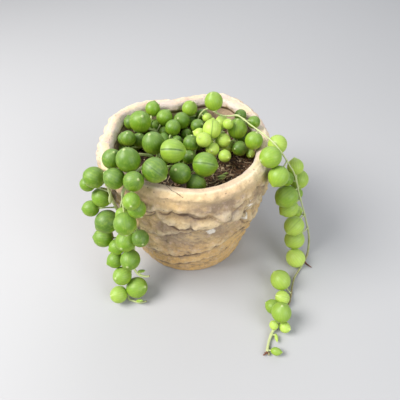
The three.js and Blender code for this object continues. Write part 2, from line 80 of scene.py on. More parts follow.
# The folds of clay outside: how proud, how high they fade, and the lower edge as
# (degrees, height, how far it sags before the next point).
FOLDS = (
    (0.9, 9, (
        (-180, 59, 0.5), (-140, 60, 0.5), (-112, 60.5, 1), (-88, 59.5, 0.5), (-58, 58.5, 0.5),
        (-30, 60, 0.6), (0, 59, 0.5), (40, 60, 0.6), (80, 59, 0.5), (130, 60, 0.6),
    )),
    (1.4, 9, (
        (-180, 56, 3), (-158, 58, 3.5), (-138, 57, 3.5), (-122, 57, 1.5), (-107, 57, 1.6),
        (-98, 56.8, 0.6), (-88, 56.6, 1.6), (-75, 55.6, 0.2), (-69.5, 53, 1.6), (-60.5, 54.4, 0.2),
        (-52, 57, 0.3), (-40, 59.5, 2), (-22, 58, 4), (-4, 56, 3.5), (14, 58, 4), (32, 56, 3.5),
        (50, 59, 4), (69, 56, 3.5), (88, 57, 4), (106, 55, 3.5), (124, 57, 4), (142, 58, 3.5),
        (161, 57, 4),
    )),
    (1.6, 10, (
        (-180, 46, 3), (-160, 47, 3), (-141, 46, 4), (-124, 49, 1.5), (-109, 54, 0.3),
        (-102.5, 47.6, 1.1), (-86.5, 48.2, 1), (-80.5, 47.4, 0.1), (-72, 48.4, 0),
        (-67, 49.6, 0.2), (-60, 48.5, 0.5), (-52, 51, 1.5), (-40, 48, 3), (-28, 47, 4),
        (-14, 45, 3), (6, 47, 4), (24, 45, 3.5), (43, 47, 4), (61, 45, 3.5), (80, 48, 4),
        (100, 46, 3.5), (118, 47, 4), (136, 45, 3.5), (157, 48, 4),
    )),
    (1.4, 9, (
        (-180, 35, 2.5), (-160, 34, 2), (-140, 36, 2.5), (-124, 38, 1), (-113, 37.6, 1.2),
        (-100, 39.2, 0.2), (-93.5, 42.6, 1), (-83.5, 43.8, 0), (-75, 46, 0), (-67, 49.4, 0.2),
        (-60, 48.5, 0.5), (-52, 47, 1), (-44, 38, 2), (-24, 37, 3), (-2, 34, 2.5), (20, 36, 3),
        (44, 34, 3), (66, 37, 3), (88, 35, 3), (110, 36, 3), (134, 34, 3), (158, 36, 3),
    )),
    (1.5, 12, (
        (-180, 15, 1), (-160, 15, 1), (-136, 17, 0.5), (-124, 18.6, 0), (-115, 20.8, 0),
        (-110.5, 18.2, 0.2), (-98, 20, 0.2), (-87, 22.5, 0.2), (-76, 25, 0), (-65, 28.5, 0),
        (-57, 31, 0), (-48, 34, 0.5), (-32, 29, 1), (-15, 23, 1), (10, 25, 1.5),
        (36, 21, 1), (60, 24, 1.5), (88, 19, 1), (115, 22, 1.5), (148, 17, 1),
    )),
    (0.9, 9, (
        (-180, 6, 0), (-130, 6, 0), (-104, 9, 0), (-90, 12.5, 0), (-80, 15.5, 0), (-67, 16.5, 0),
        (-58, 18, 0), (-54, 21, 0), (-49, 26, 0), (-42, 28, 0.5), (-26, 20, 0.5), (-8, 14, 1),
        (10, 14, 1), (40, 10, 1), (75, 12, 1), (110, 8, 1), (145, 9, 1),
    )),
)

# What leaves keep clear of: the radius of a stem and of a stalk, and the room beside a leaf of the
# same stem, the leaf's own stem, anything else, and the ground.
STEM_RADIUS = 0.8
STALK_RADIUS = 0.55
ROOM_OWN = 0.15
ROOM_OWN_STEM = 0.2
ROOM = 0.4
ROOM_FLOOR = 0.1
# How hard the stalks of other stems push them.
STALK_PUSH = 0.7
# Half sections of the wall that they rest against: degrees from one to the next, and heights of
# their points outside and inside.
SECTION_STEP = 2
SECTION_OUTSIDE = range(0, 62, 3)
SECTION_INSIDE = (57, 54, 51, 48)
# Leaves that are nearer the middle and higher than this rest on the potting mix.
OVER_SOIL = (33, 40)

# Hidden leaves: the seed and the numbers of a plain repeatable draw, the hours and widths to draw
# from, the length of the stalk, and how much more easily one gives way than a leaf that is seen.
HIDDEN_SEED = 7
DRAW_STEP = 16807
DRAW_RANGE = 2147483647
HIDDEN_HOURS = (5, 7.5)
HIDDEN_WIDTHS = (5.5, 7.5)
HIDDEN_STALK = 1
HIDDEN_GIVES = 4

# Twelve o'clock round a stem is towards the camera.
TWELVE = np.array((0, -0.67, 0.742)) / math.hypot(0.67, 0.742)

# The plant. A stem's row can hold:
# route: the points that the stem follows from under the potting mix
# leaves: (distance along the stem, hour round it, width, length of stalk)
# hidden: (how many hidden leaves, first distance, last distance)
# tone, tones: from 0, dark, to 1, lime, for all and for single leaves by number
# slits: windows that show, by number: (hour that the leaf's tip points to, strength)
# widths, woody: (distance, radius) and (distance, how dry) along the stem
# air_root: (distance, hour, length)
# dry_tip: length of the stem's dry end
# scraps: small loose bits: (start, end, thickness, tone, how dry)
STRANDS = (
    {
        "name": "trail_right",
        "tone": 0.72,
        "tones": {
            0: 0.62, 1: 0.1, 2: 0.2, 3: 0.55, 4: 0.78, 5: 0.62, 6: 0.62, 7: 0.4, 8: 0.72, 9: 0.58,
            10: 0.74, 11: 0.8, 12: 0.78, 13: 1, 14: 0.74, 15: 0.88, 16: 0.9, 17: 0.6, 18: 0.62,
            19: 0.95, 20: 1,
        },
        "route": (
            (4, 21, 46), (4, 20.5, 56), (6, 18.5, 64), (9.6, 15.8, 68.5), (14.7, 9.4, 69.5),
            (18.7, 7.2, 70.5), (22.5, 6.5, 71), (27, -1.5, 72), (31.3, -7.4, 72),
            (35.5, -12.5, 71), (39, -16, 68), (42, -17.5, 64), (45.7, -16, 57.5), (49, -14, 49),
            (51.5, -12.5, 42), (57, -12.5, 28), (62.5, -12, 13), (64, -14.5, 6.5), (63, -20, 2.2),
            (60, -25, 1.2), (56.5, -30, 1.2), (53, -35.5, 1.2), (49, -47, 1.2), (45, -54, 1.3),
            (41, -59, 1.8), (38.5, -62, 1.5), (36.5, -66, 1.2), (35, -71, 1.1),
        ),
        "leaves": (
            (31, 0.5, 8, 2), (41.1, 5.5, 5.5, 5), (46, 4.8, 5.6, 2.5), (56, 7.5, 7.5, 0.5),
            (65, 6, 8, 1), (70.5, 9.5, 8.6, 0.5), (74.5, 9, 8.5, 2.1), (91, 7.3, 6.6, 0.2),
            (97.7, 4.7, 9, 0.2), (97, 9, 10.3, 0.2), (106, 9.1, 8.8, 1.6), (118.3, 9.6, 9.6, 2.5),
            (130.5, 9.6, 10, 4), (155, 9.6, 9.6, 0.5), (172.7, 9.7, 9.8, 1.3),
            (176.5, 9.3, 6.8, 1.4), (18, 8.2, 4.6, 0.5), (184, 9, 6.8, 1.6), (189, 10.5, 9.1, 1.8),
            (191, 1, 5, 0.5), (193.5, 10.5, 4.3, 0.3), (197, 2, 2.5, 0.5), (204, 2, 4, 1),
        ),
        "hidden": (3, 88, 125),
        "widths": (
            (0, 0.4), (40, 0.34), (60, 0.28), (110, 0.32), (135, 0.48), (150, 0.62), (160, 0.45),
            (186, 0.46), (193, 0.62), (205, 0.66),
        ),
        "woody": ((0, 0), (80, 0.1), (120, 0.3), (150, 0.42), (184, 0.5), (192, 0.1), (205, 0)),
        "air_root": (151.5, 3, 4.6),
        "scraps": (
            ((35, -71, 0.8), (33.2, -71.8, 0.7), 0.3, 1, 1),
            ((35.3, -71.4, 1.3), (34, -70.6, 0.7), 0.25, 1, 0.9),
            ((36.2, -70.4, 0.9), (35.6, -72, 0.8), 0.4, 1, 0.45),
        ),
        "dry_tip": 1.2,
    },
    {
        "name": "trail_left_long",
        "tone": 0.7,
        "tones": {0: 0.18, 1: 0.26, 2: 0.34, 3: 0.44, 4: 0.38, 5: 0.12, 6: 0.34, 7: 0.4},
        "scraps": (((-30.6, -26.9, 57.6), (-32, -27.3, 50.6), 0.7, 1, 0),),
        "route": (
            (-15, -2, 46), (-15.5, -4, 56), (-20, -10, 63), (-26, -15, 66.4), (-29, -19, 66.4),
            (-30.5, -22.5, 66.2), (-31.3, -25.2, 63.5), (-31.3, -26, 57.5), (-31.2, -25.2, 50),
            (-30.7, -24.3, 44), (-30.2, -24.3, 38), (-31, -27, 30), (-30, -31, 21),
            (-28, -34.5, 13), (-29.5, -38.5, 7), (-30, -42.5, 2.4), (-29, -45.5, 1.2),
            (-26.3, -46.6, 1.2), (-23, -47.2, 1.3), (-20.3, -46.8, 1.6),
        ),
        "leaves": (
            (36.8, 0.2, 7.8, 0.3), (43.8, 7.5, 8.6, 0), (48.5, 8.2, 6.2, 6.5), (57, 7.4, 8.6, 0.1),
            (60.5, 8.8, 7.2, 5), (65, 9.6, 10.5, 0), (79, 9.6, 9.1, 0.3), (88, 9.8, 7.6, 0.9),
            (98.5, 11.25, 8.7, 0.5), (109, 10.6, 8.1, 0.1), (106.7, 1.85, 9.9, 0),
            (117.5, 2.5, 2.6, 0.3),
        ),
    },
    {
        "name": "trail_left_front",
        "tone": 0.45,
        "tones": {0: 0.18, 1: 0.12, 2: 0.2, 4: 0.44, 5: 0.48, 7: 0.62},
        "route": (
            (-8, -9, 46), (-9, -11, 56), (-13.5, -16.5, 63.5), (-17.5, -22, 66.4),
            (-20.3, -27, 66.3), (-22, -30.5, 66.1), (-24, -32, 63), (-25, -31.3, 57.5),
            (-26.8, -29.3, 52), (-27.6, -28, 46.5), (-26.8, -27.8, 40), (-25.3, -27.8, 32),
            (-25.5, -30, 24), (-26, -33, 18.5), (-26.3, -35.8, 15.5), (-24, -38.6, 13.5),
            (-20.8, -39.8, 13), (-18.3, -39.8, 13.2),
        ),
        "leaves": (
            (33, 11.1, 9.2, 2.3), (38.7, 9.6, 8, 0), (38, 1.8, 7.6, 0.3), (49, 1.7, 9, 1.6),
            (73.7, 11.3, 9.2, 1.3), (79, 9.3, 7.3, 1.5), (85, 11.5, 9.2, 1), (98.5, 2.3, 2.6, 0.1),
        ),
    },
    {
        "name": "trail_left_inner",
        "tone": 0.2,
        "tones": {0: 0.12, 1: 0.5, 2: 0.36, 3: 0.1, 4: 0.6},
        "slits": {0: (4.2, 0.6)},
        "route": (
            (0, -11, 46), (-1, -12, 56), (-5, -17, 62.5), (-9, -21.5, 65.8), (-13.5, -26, 66.4),
            (-18, -30, 66.5), (-20.5, -33.8, 63), (-21, -33.6, 57), (-22.3, -32.2, 50),
            (-22.5, -31, 43), (-22, -30.8, 36.5),
        ),
        "leaves": (
            (33.7, 12, 9.4, 0.5), (43.3, 0.7, 6.5, 0.5), (46.6, 0.8, 7, 0.3), (70.4, 0, 7.5, 0.5),
            (55, 9, 5.5, 0.3),
        ),
    },
    {
        "name": "crown_back_left",
        "tone": 0.12,
        "tones": {0: 0.42, 1: 0.36, 2: 0.34, 4: 0.25},
        "route": (
            (-12, 13, 46), (-12, 13, 53), (-14, 12.5, 57), (-18, 13, 59), (-22, 14, 59.5),
            (-26, 11, 59),
        ),
        "leaves": (
            (17.3, 9, 7, 4.6), (13.3, 9, 7.7, 1.4), (23, 11.9, 9.8, 1.8), (25, 9.4, 6.5, 1.2),
            (14.5, 7.3, 6.3, 0.4),
        ),
        "hidden": (3, 6, 20),
    },
    {
        "name": "crown_left",
        "tone": 0.15,
        "route": ((-17, 3, 46), (-18, 3, 53), (-21, 3, 56.5), (-25, 2, 57), (-28, -1, 57)),
        "leaves": ((18.2, 11.15, 6.7, 2.2), (20, 9.8, 5.6, 2.6), (13.8, 11, 6.2, 0.8)),
        "hidden": (3, 6, 22),
    },
    {
        "name": "crown_middle",
        "tone": 0.1,
        "tones": {0: 0.16, 1: 0.22, 2: 0.25},
        "route": ((-9, 4, 46), (-9, 3, 53), (-11, 0, 58), (-13, -4, 60), (-12, -9, 60)),
        "leaves": ((21, 12, 9.5, 1.5), (11, 8.7, 7.1, 2.8), (9, 7, 5, 7), (11, 8.5, 5.5, 3)),
        "hidden": (4, 6, 22),
    },
    {
        "name": "crown_back",
        "tone": 0.05,
        "tones": {0: 0.15, 1: 0.62, 3: 0.2},
        "route": ((1, 13, 46), (0, 14, 52), (-1, 17, 56), (-1, 21, 59), (-2, 24, 60)),
        "leaves": (
            (14, 0.5, 7.9, 1), (17.5, 11.35, 7.3, 0.7), (11, 10.7, 6.5, 4.5), (9, 0, 5.8, 1),
            (17, 8.5, 6, 3),
        ),
        "hidden": (3, 6, 20),
    },
    {
        "name": "crown_centre",
        "tone": 0.0,
        "route": ((3, 3, 46), (3, 2, 52), (2, 0, 55.5), (0, -4, 56.5), (-2, -8, 56)),
        "leaves": ((13, 11.3, 7.1, 1.8), (11, 8.5, 4.5, 5.5), (17.5, 0.5, 6, 0.2)),
        "hidden": (3, 5, 16),
    },
    {
        "name": "crown_front",
        "tone": 0.15,
        "tones": {0: 0.62, 1: 0.1, 2: 0.3, 3: 0.1},
        "slits": {0: (3.1, 1), 2: (3.3, 0.8)},
        "scraps": (
            ((12.8, -13.6, 53.1), (17.3, -13.4, 53.3), 0.6, 0, 0.25),
            ((13.3, -15, 53.1), (16.4, -14.8, 53.2), 0.45, 0, 0.3),
            ((15.4, -12.2, 53.2), (18.3, -11.4, 53.3), 0.4, 0, 0.25),
            ((7.6, -18.3, 53), (8.8, -18.8, 53.1), 0.35, 1, 0.3),
        ),
        "route": ((2, -15, 46), (2, -15, 53), (1, -16, 57.5), (0, -18, 59), (-0.5, -20, 59)),
        "leaves": (
            (15, 10.6, 9.9, 6), (17, 10.2, 8.6, 1.5), (15, 1.45, 9.9, 2.2), (17, 2.1, 8, 0.2),
        ),
    },
    {
        "name": "crown_young",
        "tone": 0.95,
        "slits": {0: (0.2, 0.6)},
        "route": (
            (13, 2, 46), (13, 1, 52), (12, 0, 56.5), (12.5, 3, 60), (15, 7.5, 61), (17, 8, 61),
        ),
        "leaves": (
            (16.2, 1.7, 8.2, 1.5), (16, 2, 5.5, 3), (13.3, 0.8, 6.5, 4.5), (13.15, 0.6, 6, 3.5),
            (22, 3, 6.3, 0.5), (16, 10.2, 6.4, 0.2), (11, 11, 5.5, 5), (20, 11.8, 4.7, 6),
        ),
        "hidden": (2, 9, 15),
    },
    {
        "name": "crown_right",
        "tone": 0.05,
        "tones": {0: 0.52, 1: 0.0, 2: 0.65},
        "route": ((20, 10, 46), (20, 10, 52), (21.5, 8.5, 55.5), (24.5, 5.5, 56), (29, 2.9, 55)),
        "leaves": ((12.5, 1, 9.1, 2.7), (18.2, 10.95, 6.8, 0.5), (20.3, 11, 4.4, 1)),
        "hidden": (2, 8, 17),
    },
)


# Settings.


def colour_setting(name, description, default):
    return bpy.props.FloatVectorProperty(
        name=name, description=description, subtype="COLOR", size=4, default=(*default, 1))


def length_setting(name, description, default):
    return bpy.props.FloatProperty(
        name=name, description=description, default=default * MM, unit="LENGTH")


def number_setting(name, description, default):
    return bpy.props.FloatProperty(name=name, description=description, default=default)


def count_setting(name, description, default, least):
    return bpy.props.IntProperty(
        name=name, description=description, default=default, min=least)


class PotSettings(bpy.types.PropertyGroup):
    """Sizes and colours of the pot."""

    columns: count_setting("Columns", "Faces round the pot", 420, 60)
    row_step: length_setting("Row height", "Height of a row of faces", 0.5)
    lumps: length_setting("Lumps", "How uneven the clay is", 0.75)
    clay: colour_setting("Clay", "Main colour", (0.62, 0.43, 0.205))
    shade: colour_setting("Grey clay", "Greyer patches", (0.36, 0.25, 0.155))
    warm: colour_setting("Warm clay", "Lower part and belly", (0.70, 0.425, 0.15))
    # Worn edges: pale clay on raised places, where it is also painted highlight from light above,
    # and pale specks.
    light: colour_setting("Worn edges", "Raised places", (0.76, 0.61, 0.37))
    rim: colour_setting("Rim", "Top of the rim", (0.74, 0.60, 0.40))
    pink: colour_setting("Pink clay", "Patches on the rim", (0.71, 0.52, 0.42))
    # The creases' colour: painted shade in the creases and under the rim's inner lip, and the dark
    # of the crack, the pores and the inside.
    crease: colour_setting("Creases", "Bottom of the creases", (0.10, 0.052, 0.026))


class SoilSettings(bpy.types.PropertyGroup):
    """Sizes and colours of the potting mix."""

    chips: count_setting("Chips", "Bits of bark on top", 1500, 0)
    fibres: count_setting("Fibres", "Pale threads on top", 95, 0)
    dark: colour_setting("Dark", "Damp peat", (0.030, 0.022, 0.015))
    brown: colour_setting("Brown", "Bark", (0.24, 0.125, 0.065))
    pale: colour_setting("Pale", "Dry chips and fibres", (0.74, 0.6, 0.4))


class PlantSettings(bpy.types.PropertyGroup):
    """Sizes and colours of the plant."""

    around: count_setting("Faces round a leaf", "Faces round each leaf", 40, 8)
    tip: length_setting("Tip", "Length of a leaf's point", 0.45)
    dark: colour_setting("Dark leaf", "Oldest leaves", (0.075, 0.17, 0.008))
    middle: colour_setting("Green leaf", "Leaves of the trails", (0.185, 0.345, 0.012))
    lime: colour_setting("Young leaf", "Youngest leaves", (0.55, 0.73, 0.12))
    # The bloom colour is also painted sheen on the upper side of each leaf.
    bloom_and_sheen: colour_setting("Bloom", "Waxy bloom on top", (0.27, 0.39, 0.155))
    stem: colour_setting("Stem", "Green stems and stalks", (0.52, 0.58, 0.27))
    dry: colour_setting("Dry stem", "Dry tips", (0.17, 0.06, 0.03))


class StageSettings(bpy.types.PropertyGroup):
    """The camera and the lights."""

    camera_place: bpy.props.FloatVectorProperty(
        name="Camera", description="Where the camera stands", subtype="TRANSLATION", size=3,
        unit="LENGTH", default=(5.58 * MM, -123.95 * MM, 160.6 * MM))
    camera_tilt: bpy.props.FloatProperty(
        name="Tilt", description="Camera's turn about X", subtype="ANGLE",
        default=math.radians(42))
    lens: number_setting("Lens", "Focal length on a 36 mm sensor, in mm", 31.5)
    key: number_setting("Key light", "Power of the main soft light, in watts", 5.2)
    fill: number_setting("Fill light", "Power of the fill, in watts", 2.2)
    back: number_setting("Back light", "Power of the light behind, in watts", 1.1)
    sky: number_setting("Sky", "Strength of the even light all round", 0.42)


# Materials.


def sums(operation):
    """How a value takes part in a sum, as the first number and as the second."""

    def first(self, other):
        return self.paint.calculate(operation, self, other)

    def second(self, other):
        return self.paint.calculate(operation, other, self)

    return first, second


class Value:
    """A socket of a material that can be used in sums."""

    def __init__(self, paint, socket):
        self.paint = paint
        self.socket = socket

    __add__, __radd__ = sums("ADD")
    __sub__, __rsub__ = sums("SUBTRACT")
    __mul__, __rmul__ = sums("MULTIPLY")


class Paint:
    """A material, built from named nodes."""

    def __init__(self, name):
        self.material = bpy.data.materials.new(name)
        self.material.use_nodes = True
        self.tree = self.material.node_tree
        self.shader = self.tree.nodes["Principled BSDF"]

    def node(self, kind, sockets=None, output=0, **settings):
        made = self.tree.nodes.new(kind)
        for key, value in settings.items():
            setattr(made, key, value)
        for key, value in (sockets or {}).items():
            self.set(made.inputs[key], value)
        return Value(self, made.outputs[output])

    def set(self, socket, value):
        if isinstance(value, Value):
            self.tree.links.new(value.socket, socket)
        else:
            socket.default_value = value

    def calculate(self, operation, *values):
        return self.node("ShaderNodeMath", dict(enumerate(values)), operation=operation)

    def attribute(self, name, output=2):
        return self.node("ShaderNodeAttribute", output=output, attribute_name=name)

    def part(self, vector, axis):
        return self.node("ShaderNodeSeparateXYZ", {0: vector}, axis)

    def place(self):
        return self.node("ShaderNodeTexCoord", output=3)

    def stretched(self, scale):
        sockets = {0: self.place(), 1: scale}
        return self.node("ShaderNodeVectorMath", sockets, operation="MULTIPLY")

    def noise(self, size, detail, rough, vector=None):
        sockets = {
            "Vector": vector or self.place(), "Scale": 1 / size, "Detail": detail,
            "Roughness": rough,
        }
        return self.node("ShaderNodeTexNoise", sockets)

    def cells(self, size):
        return self.node("ShaderNodeTexVoronoi", {"Vector": self.place(), "Scale": 1 / size})

    def smooth(self, value, low, high):
        """From 0 at one value to 1 at another."""
        sockets = {0: value, 1: low, 2: high, 3: 0, 4: 1}
        return self.node("ShaderNodeMapRange", sockets, interpolation_type="SMOOTHSTEP")

    def mix(self, mask, first, second):
        """The first colour where the mask is 0, and the second where it is 1."""
        return self.node("ShaderNodeMix", {0: mask, 6: first, 7: second}, 2, data_type="RGBA")

    def layers(self, colour, *layers):
        """A colour under others, each with the mask that shows it."""
        for mask, over in layers:
            colour = self.mix(mask, colour, over)
        return colour

    def bump(self, height, distance, strength):
        sockets = {"Height": height, "Distance": distance, "Strength": strength}
        return self.node("ShaderNodeBump", sockets)

    def finish(self, **sockets):
        for name, value in sockets.items():
            self.set(self.shader.inputs[name.replace("_", " ")], value)
        return self.material


def colours_of(settings, *names):
    """The colours that are kept in a group of settings."""
    return [tuple(getattr(settings, name)) for name in names]


# Sums on arrays of points.


def smooth_step(low, high, value):
    """From 0 at one value to 1 at another."""
    t = np.clip((value - low) / (high - low), 0, 1)
    return t * t * (3 - 2 * t)


def bell(value, width):
    """1 at nothing, and less on either side."""
    return np.exp(-((value / width) ** 2))


def blobs(points, size, shift):
    """Smooth noise from -1 to 1 at each point, for blobs of that size."""
    flat = points.reshape(-1, 3) / size + shift
    values = [noise.noise(Vector(p)) for p in flat.tolist()]
    return np.array(values).reshape(points.shape[:-1])


# The pot's shape.


def list_index(points, degrees):
    """The last point at or before an angle, and the angle turned to follow the first point."""
    first = points[0][0]
    angle = first + (degrees - first) % 360
    i = max(k for k, point in enumerate(points) if point[0] <= angle)
    return i, angle


def list_point(points, i):
    """A point of a list that goes on round the pot."""
    turns, k = divmod(i, len(points))
    return (points[k][0] + 360 * turns, *points[k][1:])


def mouth_radius(degrees):
    """Radius of the mouth's outer edge at an angle."""
    i, angle = list_index(MOUTH, degrees)
    (a0, r0), (a1, r1), (a2, r2), (a3, r3) = [list_point(MOUTH, i + k) for k in (-1, 0, 1, 2)]
    t = (angle - a1) / (a2 - a1)
    slope_1 = (r2 - r0) / (a2 - a0) * (a2 - a1)
    slope_2 = (r3 - r1) / (a3 - a1) * (a2 - a1)
    square = 3 * (r2 - r1) - 2 * slope_1 - slope_2
    cube = 2 * (r1 - r2) + slope_1 + slope_2
    return r1 + t * (slope_1 + t * (square + t * cube))


def wall_radius(mouth, height):
    """Radius of the outside without folds, from the mouth's radius at the same angle."""
    rise = 1 - (1 - np.clip(height / HEIGHT, 0, 1)) ** BULGE
    return FOOT_RADIUS + (mouth - FOOT_RADIUS) * rise


def edge_places(edge, degrees):
    """At each angle: height of a fold's lower edge, how far across its lobe, its sag and span."""
    first = edge[0][0]
    starts = np.array([row[0] for row in edge] + [first + 360])
    heights = np.array([row[1] for row in edge] + [edge[0][1]])
    sags = np.array([row[2] for row in edge])
    angle = first + (degrees - first) % 360
    i = np.clip(np.searchsorted(starts, angle, side="right") - 1, 0, len(edge) - 1)
    span = starts[i + 1] - starts[i]
    t = (angle - starts[i]) / span
    height = heights[i] + (heights[i + 1] - heights[i]) * t - 4 * sags[i] * t * (1 - t)
    return height, t, sags[i], span


def plain_depth(degrees, height):
    """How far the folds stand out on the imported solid, which leaves rest against."""
    depth = 0
    for proud, fade, edge in FOLDS:
        above = height - edge_places(edge, degrees)[0]
        rise = np.clip((above + 1.2) / 1.2, 0, 1) * (1 - np.maximum(above, 0) / fade)
        depth = depth + proud * np.where(above < fade, rise, 0)
    return depth * np.clip(height / 4, 0, 1) * np.clip((63 - height) / 3, 0, 1)


def middle_at(height):
    """How far along X the pot's middle is at a height."""
    return LEAN * height / HEIGHT


# Settling the leaves.


def stem_line(route, steps=6):
    """Points along the smooth curve through a route."""
    points = [np.array(p, float) for p in route]
    points = [2 * points[0] - points[1], *points, 2 * points[-1] - points[-2]]
    line = []
    for a, b, c, d in zip(points, points[1:], points[2:], points[3:]):
        for k in range(steps):
            t = k / steps
            square = 2 * a - 5 * b + 4 * c - d
            cube = 3 * b - a - 3 * c + d
            line.append((2 * b + (c - a) * t + square * t**2 + cube * t**3) / 2)
    line.append(points[-2])
    return np.array(line)


def distances(line):
    """How far along a line each of its points is."""
    return np.concatenate([[0], np.cumsum(np.linalg.norm(np.diff(line, axis=0), axis=1))])


def place_along(line, at):
    """The point at a distance along a line, and the direction there."""
    distance = distances(line)
    at = min(max(at, 0), distance[-1])
    i = min(max(np.searchsorted(distance, at, side="right") - 1, 0), len(line) - 2)
    step = line[i + 1] - line[i]
    point = line[i] + step * (at - distance[i]) / (distance[i + 1] - distance[i])
    return point, step / np.linalg.norm(step)


def hour_direction(heading, hour):
    """The direction that an hour points in, square to a stem, with twelve towards the camera."""
    twelve = TWELVE - heading * (TWELVE @ heading)
    twelve /= np.linalg.norm(twelve)
    three = np.cross(twelve, heading)
    angle = math.radians(hour * 30)
    return twelve * math.cos(angle) + three * math.sin(angle)


def nearest_on(start, end, point):
    """The place nearest to a point on each straight piece."""
    along = end - start
    length = np.maximum((along * along).sum(-1), 1e-9)
    t = np.clip(((point - start) * along).sum(-1) / length, 0, 1)
    return start + along * t[..., None]


def first_leaves(lines):
    """Leaves at first: strand, number, root, centre, radius and how much each one gives way."""
    state = HIDDEN_SEED
    leaves = []
    for k, (strand, line) in enumerate(zip(STRANDS, lines)):
        rows = [(*leaf, 1) for leaf in strand["leaves"]]
        count, first, last = strand.get("hidden", (0, 0, 0))
        for j in range(count):
            drawn = []
            for low, high in (HIDDEN_HOURS, HIDDEN_WIDTHS):
                state = state * DRAW_STEP % DRAW_RANGE
                drawn.append(low + (high - low) * state / DRAW_RANGE)
            at = first + (last - first) * (j + 0.5) / count
            rows.append((at, *drawn, HIDDEN_STALK, HIDDEN_GIVES))
        for number, (at, hour, width, reach, gives) in enumerate(rows):
            root, heading = place_along(line, at)
            centre = root + hour_direction(heading, hour) * (width / 2 + STEM_RADIUS + reach)
            leaves.append((k, number, root, centre, width / 2, gives))
    return leaves


def rest_sections():
    """Half sections of the wall that leaves rest against."""
    sections = []
    for degrees in range(-180, 180, SECTION_STEP):
        mouth = mouth_radius(degrees)
        rows = [(wall_radius(mouth, z) + plain_depth(degrees, z), z) for z in SECTION_OUTSIDE]
        rows += [(mouth + out, z) for out, z in RIM]
        rows += [(wall_radius(mouth, z) - WALL, z) for z in SECTION_INSIDE]
        sections.append(rows)
    return np.array(sections)


def push_apart(away, need):
    """Pushes along each row of vectors, for as much as they are shorter than needed."""
    length = np.linalg.norm(away, axis=-1) + 1e-9
    over = np.maximum(need - length, 0)
    return away / length[..., None] * over[..., None], over


def push_from_pot(centre, radius, sections):
    """Pushes away from the wall and the rim, and up from the potting mix."""
    across, along, height = centre[:, 0] - middle_at(centre[:, 2]), centre[:, 1], centre[:, 2]
    out = np.hypot(across, along)
    degrees = np.degrees(np.arctan2(along, across))
    nearest = np.floor((degrees + 180) / SECTION_STEP + 0.5).astype(int) % len(sections)
    section = sections[nearest]
    here = np.stack([out, height], 1)[:, None]
    away = here - nearest_on(section[:, :-1], section[:, 1:], here)
    closest = np.linalg.norm(away, axis=2).argmin(1)
    push, _ = push_apart(away[np.arange(len(out)), closest], radius + ROOM)
    total = np.stack([across / out * push[:, 0], along / out * push[:, 0], push[:, 1]], 1)
    over_soil = (out < OVER_SOIL[0]) & (height > OVER_SOIL[1])
    lift = np.maximum(SOIL_TOP + SOIL_CROWN + radius + ROOM - height, 0)
    total[:, 2] += np.where(over_soil, lift, 0)
    return total


def settled_leaves(lines, passes=200, homing=120, pull=0.03, ease=0.6):
    """Leaves move a little at a time until none presses on another, a stem or the pot.

    For the first passes a weak pull also takes them home, to their first place.
    """
    leaves = first_leaves(lines)
    strand, number, root, centre, radius, gives = map(np.array, zip(*leaves))
    home = centre.copy()
    same = strand[:, None] == strand[None]
    share = gives[:, None] / (gives[:, None] + gives[None])
    starts = np.concatenate([line[:-1] for line in lines])
    ends = np.concatenate([line[1:] for line in lines])
    owner = np.concatenate([[k] * (len(line) - 1) for k, line in enumerate(lines)])
    own_stem = strand[:, None] == owner[None]
    sections = rest_sections()
    for done in range(passes):
        away = centre[:, None] - centre[None]
        need = radius[:, None] + radius[None] + np.where(same, ROOM_OWN, ROOM)
        np.fill_diagonal(need, -1)
        push = (push_apart(away, need)[0] * share[..., None]).sum(1)
        away = centre[:, None] - nearest_on(starts[None], ends[None], centre[:, None])
        need = radius[:, None] + STEM_RADIUS + np.where(own_stem, ROOM_OWN_STEM, ROOM)
        stem_push, over = push_apart(away, need)
        push += stem_push[np.arange(len(centre)), over.argmax(1)]
        away = centre[:, None] - nearest_on(root[None], centre[None], centre[:, None])
        need = np.where(same, -1, radius[:, None] + STALK_RADIUS + ROOM)
        push += push_apart(away, need)[0].sum(1) * STALK_PUSH
        push += push_from_pot(centre, radius, sections)
        push[:, 2] += np.maximum(radius + ROOM_FLOOR - centre[:, 2], 0)
        centre = centre + push * ease + (home - centre) * (pull if done < homing else 0)
    return strand, number, root, centre, radius


# Meshes.


def new_mesh_object(name, points, faces, values=None, kinds=None):
    """An object from points in millimetres, with a value for each point under each name."""
    mesh = bpy.data.meshes.new(name)
    mesh.from_pydata((np.asarray(points) * MM).tolist(), [], faces)
    for key, data in (values or {}).items():
        data = np.asarray(data, np.float32)
        kind, field = ("FLOAT_VECTOR", "vector") if data.ndim == 2 else ("FLOAT", "value")
        mesh.attributes.new(key, kind, "POINT").data.foreach_set(field, data.ravel())
    if kinds is not None:
        mesh.polygons.foreach_set("material_index", kinds)
    mesh.polygons.foreach_set("use_smooth", [True] * len(mesh.polygons))
    mesh.update()
    made = bpy.data.objects.new(name, mesh)
    bpy.context.scene.collection.objects.link(made)
    return made


def closed_faces(rows, columns):
    """Quads between rings of points, and a fan to one more point at either end."""
    faces = []
    for low in range(0, (rows - 1) * columns, columns):
        high = low + columns
        for k in range(columns):
            beside = (k + 1) % columns
            faces.append((low + k, low + beside, high + beside, high + k))
    first_end, last_end = rows * columns, rows * columns + 1
    last = (rows - 1) * columns
    for k in range(columns):
        beside = (k + 1) % columns
        faces.append((first_end, beside, k))
        faces.append((last_end, last + k, last + beside))
    return faces


